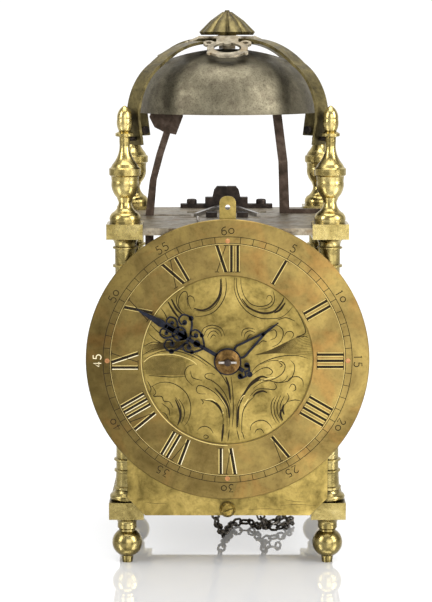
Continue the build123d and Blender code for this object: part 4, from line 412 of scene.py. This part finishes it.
# ---- scrolls and leaves engraved on the dial's centre: points (x to the right, up) from it ----
FINE_CUTS = (
    ((-1.2, 55.9), (-0.9, 48.8), (-2.7, 41.3), (-7.8, 34.1), (-14.1, 30.7), (-21.9, 29.6)),
    ((-23.1, 34.5), (-14.9, 33.4), (-8.6, 36.9), (-4.7, 43.7), (-3.9, 50.4), (-4.3, 55.8)),
    ((-26.6, 36.9), (-27.2, 41.7), (-25.4, 43.8), (-22.9, 42.6), (-22.2, 39.7)),
    ((-24.3, 34.5), (-26.2, 38.5), (-26.8, 43.3), (-27.6, 46.4), (-30.1, 46.3), (-32.5, 42.5),
     (-32.9, 37.7), (-31.2, 33.4)),
    ((-33.8, 44.8), (-34.3, 39.9), (-32.5, 35.2), (-28.6, 31.5)),
    ((-44.6, 35.3), (-41.9, 31.2), (-40.3, 27.4)),
    ((-48.5, 29.4), (-44.6, 23.5), (-39.9, 19.5)),
    ((-51.8, 24.6), (-47, 19.5), (-40.5, 15.7)),
    ((-54, 19.5), (-48.5, 14), (-40.3, 10)),
    ((-56.4, 9.6), (-50.1, 12.4), (-43, 11.2)),
    ((4.5, 55.9), (4.5, 48.8), (6.4, 42.3), (10.3, 36), (15.8, 31.2), (22.8, 28.5), (29.7, 28.4),
     (35.2, 29), (40.1, 32.2), (44, 37.1)),
    ((5.9, 55.9), (6.1, 49.6), (7.8, 43.3), (12.1, 36.9), (18.4, 33.1)),
    ((8.8, 55.9), (9.1, 50.4), (11.1, 43.9), (15, 38.8), (19.7, 36.8), (24.4, 36.9), (28.2, 38.5),
     (29.9, 41.2), (29.1, 43.7), (27.1, 44), (26.1, 41.7)),
    ((30.5, 46.8), (31.5, 41.7), (30, 37.7), (26, 35.2), (20.3, 34.9)),
    ((47, 33), (50.9, 25), (52.4, 19.5), (50.7, 17.4), (46.2, 16.2)),
    ((33.6, 27.4), (39.1, 29), (45.4, 26.6)),
    ((-18, 17.1), (-16, 21.9), (-10.2, 23.9), (-4.3, 21.7), (-1.7, 16.3)),
    ((-16, 16.3), (-14.1, 20.7), (-9.8, 22), (-5.5, 20.1), (-3.9, 16.3)),
    ((-13.7, 15.5), (-11.7, 19.1), (-8.6, 19.9), (-6.1, 17.5)),
    ((-11.7, 14.7), (-9.8, 17.3), (-7.8, 16.3)),
    ((9.4, 16.3), (10.2, 20.3), (14.1, 22), (18.4, 21.1)),
    ((11, 15.1), (12.1, 18.7), (15.3, 20.1), (18.4, 18.7)),
    ((12.9, 14), (14.5, 17.1), (16.8, 17.3)),
    ((27.4, 22.7), (32.7, 23.9), (36.8, 21.1), (37.2, 16.3), (34.4, 11.4), (29.7, 9)),
    ((28, 19.5), (31.3, 20.8), (33, 18.5), (32.1, 15.4), (28.8, 13.8)),
    ((38, 16.2), (39.8, 19.2), (43, 19.5), (44.4, 17.4), (43, 14.9)),
    ((45.4, 15.1), (49.3, 16.3), (54, 15.9)),
    ((19.6, 10), (23.5, 13.2), (26.6, 12.4)),
    ((-57.1, 3.5), (-50.1, 7.5), (-39.9, 8.8), (-29, 6.7), (-19.6, 2.5), (-11.7, -3.1)),
    ((-54, 2.1), (-44.6, 6), (-32.9, 6), (-21.9, 1.9), (-13.3, -3.9)),
    ((-39.9, 8.8), (-38.7, 10), (-36, 9.2), (-33.7, 10), (-31.3, 8.8)),
    ((-53.2, -10.4), (-47, -10.8), (-37.6, -11.5), (-28.6, -11)),
    ((-3.5, -46), (-3, -39.7), (-5.3, -33.4), (-10, -28.6), (-14.7, -27.4), (-18, -26.9)),
    ((-0.4, -50), (-0.6, -34.9), (-3.8, -27.8), (-8.5, -22.4), (-14.7, -18.5), (-19.4, -17.2),
     (-21.1, -20.1), (-19.4, -22.7), (-14.7, -23.1)),
    ((0.9, -46), (1.7, -33.4), (-0.6, -25.4), (-4.5, -19.1), (-10, -14.3), (-14.7, -12.1),
     (-14.9, -9.8), (-11.7, -8.8), (-8.5, -10.1)),
    ((2.2, -29.4), (1.7, -21.5), (-1, -15.1), (-4.5, -9.6), (-10, -4.1), (-16.3, 0.7), (-21.9, 4.7)),
    ((3.1, -46), (3.9, -34.9), (3.5, -21.5), (2.3, -11.2)),
    ((-24.1, -16.9), (-27.7, -12.9), (-28.9, -8), (-26.6, -4.2), (-22.5, -2.9)),
    ((-24.9, -7.2), (-24.1, -11.3), (-21, -12.9), (-17.1, -13.7)),
    ((-18, -26.6), (-16.4, -28.6), (-17.2, -30.2)),
    ((-51.7, -18.3), (-46.2, -15.5), (-39.8, -15.1), (-33.5, -17.5), (-28, -22.4), (-25.3, -28.8),
     (-24.9, -35.1), (-26.6, -41.4), (-29.1, -44.8)),
    ((-32.9, -26.6), (-29.9, -31.8), (-29.1, -37.3), (-31.2, -43.3)),
    ((-35.2, -25.4), (-32.1, -31), (-31.2, -37.3), (-32.2, -42.9)),
    ((-50.9, -17.5), (-48.4, -22.1), (-49.9, -24.6), (-44.6, -24.8), (-43, -28), (-39.1, -28.6),
     (-36.8, -32.6)),
    ((-54, -14.3), (-51.7, -19.1), (-52.4, -22.3)),
    ((-44.6, -29.4), (-39.9, -33.4), (-39.1, -38.1)),
    ((-47, -34.9), (-42.3, -36.5), (-39.9, -40.5)),
    ((-20.5, -48.2), (-18.2, -46), (-14.9, -45.4), (-11.6, -47), (-9.7, -50.1)),
    ((-16.4, -52.5), (-14.9, -51.3), (-13, -52.5), (-14.4, -53.9), (-16.3, -53)),
    ((6.1, -46.8), (5.9, -34.9), (8.3, -27), (13.5, -19.3), (19.7, -14), (27.5, -13.9), (33.8, -15.3),
     (38.5, -13.7), (40.8, -10.4)),
    ((9.5, -50), (10.2, -36.5), (13.5, -29.4), (18.2, -24.8)),
    ((7.8, -46), (8, -31.8), (11.7, -22.4), (16.6, -16.7), (22.8, -12.9)),
    ((14.9, -10.4), (19.6, -4.1), (26.8, -0.1), (35.4, 2.6), (45.5, 3.4), (54.2, 1.3)),
    ((16.6, -10.1), (22.1, -6.1), (26.8, -5), (30.2, -7.4), (29, -9.8), (26, -10.1)),
    ((22.1, -2.9), (29.1, -0.3), (35.4, -0.6), (38.5, -2.9), (38.3, -6.6), (35.4, -10.4),
     (29.1, -13.7), (22.8, -15.3), (17.4, -19.3)),
    ((42.4, -0.1), (45.1, -3.4), (44.6, -9), (41.6, -13.7), (35.4, -15.3), (31.3, -14.5)),
    ((34.4, -1.3), (36.8, -3.3), (35.2, -4.8)),
    ((15, -24.8), (19.7, -20.1), (26, -19.6), (31.5, -20.1), (33, -18), (31.3, -15.3)),
    ((40.4, -14.8), (42.4, -12.1), (47.1, -11.2), (50.6, -13.7), (51, -18.3)),
    ((41.6, -19.3), (43.2, -16.4), (45.5, -17.2), (45.9, -20.1), (43.8, -21.2)),
    ((32.1, -24.8), (29.6, -29.6), (30, -36.7), (33, -43)),
    ((33.8, -24.8), (31.5, -30.2), (32.1, -37.3), (35.2, -43)),
    ((36, -23.9), (33.6, -30.2), (34, -36.5), (36.9, -42.1)),
    ((38.3, -24.6), (35.8, -30.2), (35.6, -34.9)),
    ((40.1, -22.3), (41.5, -25.4), (40.1, -28.6), (38.3, -31)),
    ((40.7, -28.2), (45.4, -27.2), (49.3, -27.8)),
    ((15.6, -48.2), (16.1, -44.6), (19.7, -41.8), (24.4, -41.3), (28.3, -43.8), (30.2, -47)),
    ((18.5, -50.1), (19.7, -47.8), (22.8, -47.3), (24.7, -50.1)),
    ((1.2, -47.6), (0.2, -55.7)),
    ((6.3, -47.6), (8, -54.9)),
    ((10, -49.2), (11.4, -54.1)),
)
BROAD_CUTS = (
    ((-22.7, 35.5), (-17.2, 34.1), (-11.7, 36.1), (-6.9, 41.3), (-4.9, 47.2), (-4.7, 55.1)),
    ((-40.1, 39.9), (-36, 33), (-32.7, 28.8)),
    ((-37.7, 41.7), (-34.4, 35.2), (-30.4, 31.2)),
    ((9.5, 42), (14.2, 36), (20.5, 32.8), (26, 32), (31.5, 33.6), (36.2, 39.1), (37.7, 42.6)),
    ((31.3, 32.2), (35.2, 34.5), (38.7, 39.3)),
    ((-3.9, -55.9), (-3.3, -50), (-2.7, -43.7)),
    ((-11.7, -27.7), (-7, -30.2), (-3.3, -35.7)),
    ((-8.6, -19.1), (-3.9, -24.6), (0.2, -31.8), (1.1, -39.7)),
    ((-1.2, -11.2), (0.9, -18.3), (1.7, -27)),
    ((-35.2, -27), (-32.7, -33.4), (-31.9, -38.5), (-33.8, -44.8)),
    ((8.8, -29.4), (11.1, -23.2), (15.8, -16.7), (22.1, -12.1)),
    ((11.7, -21.5), (16.4, -15.1), (22.7, -11.2), (27.4, -12.4)),
    ((17.2, -24.8), (19.7, -22.3), (23.6, -21.1), (26.8, -22.1)),
    ((36.6, -33.4), (35.8, -37.3), (37.4, -41.4)),
    ((38.3, -30.2), (37.2, -33.4), (38.3, -37.3)),
    ((6.7, -46), (6.9, -36.5), (7.8, -31)),
)
# painted highlights: bright strokes beside some cuts of the scrolls, where the cut walls catch light
HIGHLIGHT_CUTS = (
    ((-56.5, -1.3), (-51.5, 2.6), (-42.9, 4.2), (-33.5, 3.4), (-24.9, 0.2), (-20.8, -2.9)),
    ((8.8, -27), (10.2, -24.8), (11.7, -23.9)),
    ((11.1, -31.1), (14.1, -26.4)),
    ((34.4, -0.1), (36.8, 0.2)),
    ((-14.9, -27), (-10, -27), (-4.7, -32.6), (-2.7, -36.5)),
    ((-8.6, -22.4), (-3.9, -27), (-0.9, -32.6)),
    ((22.7, -14.2), (27.4, -12.4), (32.1, -11.6)),
)
SCROLL_EDGE = 57.4             # the ring covers the plate outside this radius


def inside_ring(points):
    """The first run of points that the ring doesn't cover."""
    run = []
    for x, up in points:
        if math.hypot(x, up) < SCROLL_EDGE:
            run.append((x, up))
        elif len(run) > 1:
            break
        else:
            run = []
    return run


brown = bmesh.new()
layer = 0
for strokes, mesh, width in ((FINE_CUTS, dark, 0.62), (BROAD_CUTS, dark, 1.5), (HIGHLIGHT_CUTS, highlight_strips, 0.5)):
    for points in strokes:
        layer += 1
        run = inside_ring(smooth(points))
        if len(run) > 2:
            cut_line(mesh, run, width, DIAL_FACE - layer % 9 * LAYER, swell if mesh is dark else None)

# hatched grounds right and left of the arbor: the first cut's points, how far the last cut's
# points lie from them, the number of cuts and their width
HATCHED_GROUNDS = (
    (((18.0, 3.6), (36.0, 5.0), (57.0, 3.5)), ((10.0, 3.0), (3.0, 7.0), (-3.0, 16.0)), 14, 0.4),
    (((-57.0, 1.5), (-44.0, 2.6), (-29.0, 0.5)), ((0.0, -10.5), (0.0, -12.4), (2.0, -10.5)), 16, 0.45),
    (((-56.0, 4.0), (-38.0, 8.5), (-20.0, 4.5)), ((0.0, 6.0), (0.0, 4.0), (0.0, 8.0)), 12, 0.4),
)
for first, spread, count, width in HATCHED_GROUNDS:
    for i in range(count):
        lean = i / (count - 1)
        run = inside_ring(smooth([(x + dx * lean, up + dup * lean)
                                  for (x, up), (dx, dup) in zip(first, spread)]))
        if len(run) > 2:
            cut_line(brown, run, width, DIAL_FACE - i * LAYER, swell)
APRON_SCRATCHES = (
    ((39.0, -96.2), (46.0, -97.6), (53.0, -97.8)),
    ((36.0, -100.4), (47.0, -99.6), (60.0, -100.4)),
    ((-56.0, -98.0), (-48.0, -99.0), (-41.0, -98.8)),
    ((14.0, -103.2), (27.0, -102.6), (38.0, -103.4)),
)
for points in APRON_SCRATCHES:
    cut_line(brown, smooth(points), 0.28, DIAL_FACE, swell)

piece("dial_cut_lines", dark, wax_dark)
piece("dial_hatching", brown, wax_brown)
# the pale strokes are painted highlights
piece("dial_pale_highlights", pale_highlight, pale_highlight_paint)
# the bright strokes are painted highlights
piece("dial_painted_highlights", highlight_strips, highlight_brass)


# ---- hands: sawn steel scrolls, drawn upright from the dial's centre ----
def drawn_hand(name, node, body, angle, strips, discs):
    """Strips (points, width, taper) and discs (x, up, radius) in the depth of the CAD hand."""
    low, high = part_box(node)
    front, back = low.y / MM, high.y / MM
    mesh = bmesh.new()
    for points, width, taper in strips:
        draw_strip(mesh, turned(points, angle), width, front, back, taper)
    for x, up, radius in discs:
        (x, up), = turned([(x, up)], angle)
        made = bmesh.ops.create_circle(mesh, cap_ends=True, segments=32, radius=radius * MM,
                                       matrix=Matrix.Translation(on_dial(x, up, front))
                                       @ Matrix.Rotation(math.pi / 2, 4, "X"))["verts"]
        face = list({f for v in made for f in v.link_faces})
        deep = bmesh.ops.extrude_face_region(mesh, geom=face)["geom"]
        bmesh.ops.translate(mesh, verts=[g for g in deep if isinstance(g, bmesh.types.BMVert)],
                            vec=(0, (back - front) * MM, 0))
    hand = piece(name, mesh, steel_blue, body)
    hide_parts(node)


def blade(part):
    """Width along the long hand's blade: a leaf that swells and then runs to a point."""
    return 0.5 + 0.5 * math.sin(math.pi * min(part * 1.35, 1.0)) if part < 0.74 else 1.0 - 3.2 * (part - 0.74)


def thinning(loss):
    """Width that falls steadily by a share along a strip."""
    return lambda part: 1.0 - loss * part


MINUTE_ANGLE, HOUR_ANGLE = -59.7, 52.5              # clockwise from twelve
HALF_SCROLLS = [
    ([(0.6, 18.5), (4.4, 21.5), (7.6, 25.5), (7.8, 29.6), (4.6, 31.2), (2.8, 28.8), (4.6, 27.0)], 1.35),
    ([(0.6, 29.5), (5.0, 31.5), (10.2, 33.6), (13.4, 37.6), (12.2, 42.0), (8.2, 42.6), (6.4, 39.6),
      (8.6, 37.6)], 1.5),
    ([(0.6, 38.5), (4.2, 41.0), (7.4, 44.6), (6.6, 48.6), (3.0, 49.2), (2.2, 46.2), (4.0, 45.0)], 1.4),
    ([(1.0, 33.0), (4.4, 36.4), (3.4, 40.6), (0.6, 42.0)], 1.6),
]
BOSS_DISCS = ((4.6, 27.2, 1.6), (13.0, 36.0, 1.7), (8.4, 38.2, 1.7), (4.0, 45.2, 1.3),
              (6.6, 24.0, 1.4), (4.4, -12.4, 1.9))
# spine, tail, blade and the curl at the tail's end
strips = [([(0, 0), (0, 48.5)], 2.4, None), ([(0, 0), (0, -12.5)], 2.8, None),
          ([(0, 47.0), (0, 52.0), (0, 57.5), (0, 70.5)], 5.4, blade),
          ([(-3.6, -11.0), (-4.6, -14.0), (-2.2, -15.6), (0, -13.4), (2.2, -15.6), (4.6, -14.0),
            (3.6, -11.0)], 1.8, None)]
discs = [(0, 0, 9.3), (0, 24.0, 2.4), (0, 35.0, 3.4), (0, 44.0, 2.6), (0, -17.2, 1.9)]
for side in (-1, 1):
    for points, width in HALF_SCROLLS:
        strips.append((smooth([(side * x, up) for x, up in points]), width, thinning(0.35)))
    discs += [(side * x, up, radius) for x, up, radius in BOSS_DISCS]
drawn_hand("minute_hand_scrolled", "minute_hand", "minute_motion", MINUTE_ANGLE, strips, discs)

# the short hand: a point on top of one long open loop
strips = [([(0, 29.0), (0, 36.0), (0, 43.0)], 2.4, thinning(0.7))]
for side in (-1, 1):
    strips.append((smooth([(side * 2.6, 7.0), (side * 4.4, 10.6), (side * 3.6, 15.5), (side * 1.9, 24.0),
                           (side * 0.4, 31.0)]), 1.5, None))
drawn_hand("hour_hand_looped", "hour_hand", "hour_motion", HOUR_ANGLE, strips, [(0, 0, 9.0)])


# ---- the photograph's surroundings: white gloss table, white paper behind ----
def quad(name, corners, material):
    """A flat sheet of four corners in metres."""
    mesh = bmesh.new()
    mesh.faces.new([mesh.verts.new(Vector(c)) for c in corners])
    return piece(name, mesh, material, body=None)


table_white, tree = new_material("white_gloss_table")
sheet = add_node(tree, "ShaderNodeBsdfDiffuse", {"Color": linear("#dbdcde")})
gloss = add_node(tree, "ShaderNodeBsdfGlossy", {"Color": linear("#ffffff"), "Roughness": 0.03})
top = add_node(tree, "ShaderNodeMixShader", {"Fac": 0.5, 1: sheet.outputs["BSDF"], 2: gloss.outputs["BSDF"]})
# to the camera the table pales into the paper behind it
reach = add_node(tree, "ShaderNodeSeparateXYZ", {
    "Vector": add_node(tree, "ShaderNodeTexCoord").outputs["Object"]})
fade = add_node(tree, "ShaderNodeMapRange", {
    "Value": reach.outputs["Y"], "From Min": 0.3, "From Max": 2.0, "To Min": 0.08, "To Max": 0.4})
glow = add_node(tree, "ShaderNodeEmission", {"Color": linear("#ffffff"), "Strength": fade.outputs["Result"]})
unlit = add_node(tree, "ShaderNodeEmission", {"Strength": 0.0})
seen = add_node(tree, "ShaderNodeMixShader", {
    "Fac": add_node(tree, "ShaderNodeLightPath").outputs["Is Camera Ray"],
    1: unlit.outputs["Emission"], 2: glow.outputs["Emission"]})
both = add_node(tree, "ShaderNodeAddShader", {0: top.outputs["Shader"], 1: seen.outputs["Shader"]})
add_node(tree, "ShaderNodeOutputMaterial", {"Surface": both.outputs["Shader"]})
STAGE_REACH = 6.5              # metres
BACKDROP_Y = 3.9               # metres, so that a view from behind is taken from before the backdrop
floor = quad("floor", [(x * STAGE_REACH, y * STAGE_REACH, 0)
                       for x, y in ((-1, -1), (1, -1), (1, 1), (-1, 1))], table_white)
paper_white, tree = new_material("white_paper_backdrop")
glow = add_node(tree, "ShaderNodeEmission", {"Color": linear("#ffffff"), "Strength": 1.08})
add_node(tree, "ShaderNodeOutputMaterial", {"Surface": glow.outputs["Emission"]})
backdrop = quad("backdrop", [(x * STAGE_REACH, BACKDROP_Y, z) for x, z in
                             ((-1, -0.3), (1, -0.3), (1, STAGE_REACH), (-1, STAGE_REACH))], paper_white)


def soft_light(name, place, size, power):
    """An area light turned to the clock's middle; metres and watts."""
    light = bpy.data.lights.new(name, "AREA")
    light.shape = "RECTANGLE"
    light.size, light.size_y = size
    light.energy = power
    thing = bpy.data.objects.new(name, light)
    bpy.context.scene.collection.objects.link(thing)
    thing.location = place
    thing.rotation_euler = (Vector((0, 0, 0.2)) - Vector(place)).to_track_quat("-Z", "Y").to_euler()


soft_light("left_softbox", (-1.6, -1.0, 1.1), (0.6, 1.4), 22)
soft_light("right_softbox", (1.5, -1.0, 1.0), (0.7, 1.4), 36)
soft_light("top_softbox", (0, -0.2, 1.9), (1.4, 1.4), 30)
soft_light("front_fill", (0.75, -2.7, 0.95), (1.9, 1.6), 34)

world = bpy.data.worlds.new("pale_room")
bpy.context.scene.world = world
world.use_nodes = True
world.node_tree.nodes["Background"].inputs["Color"].default_value = linear("#f0efec")
world.node_tree.nodes["Background"].inputs["Strength"].default_value = 0.48

# ---- camera, solved from the photograph ----
IMAGE_WIDTH = 432
SENSOR_WIDTH = 36.0
FOCAL_PIXELS = 1870.0
TILT = 7.95                    # degrees down from level
camera_data = bpy.data.cameras.new("camera")
camera_data.sensor_fit = "HORIZONTAL"
camera_data.sensor_width = SENSOR_WIDTH
camera_data.lens = SENSOR_WIDTH * FOCAL_PIXELS / IMAGE_WIDTH
camera_data.clip_start, camera_data.clip_end = 0.01, 50
camera = bpy.data.objects.new("camera", camera_data)
scene = bpy.context.scene
scene.collection.objects.link(camera)
camera.location = (-7.8 * MM, -1318.4 * MM, 357 * MM)
camera.rotation_euler = (math.radians(90 - TILT), 0, 0)
scene.camera = camera
scene.view_settings.view_transform = "Standard"
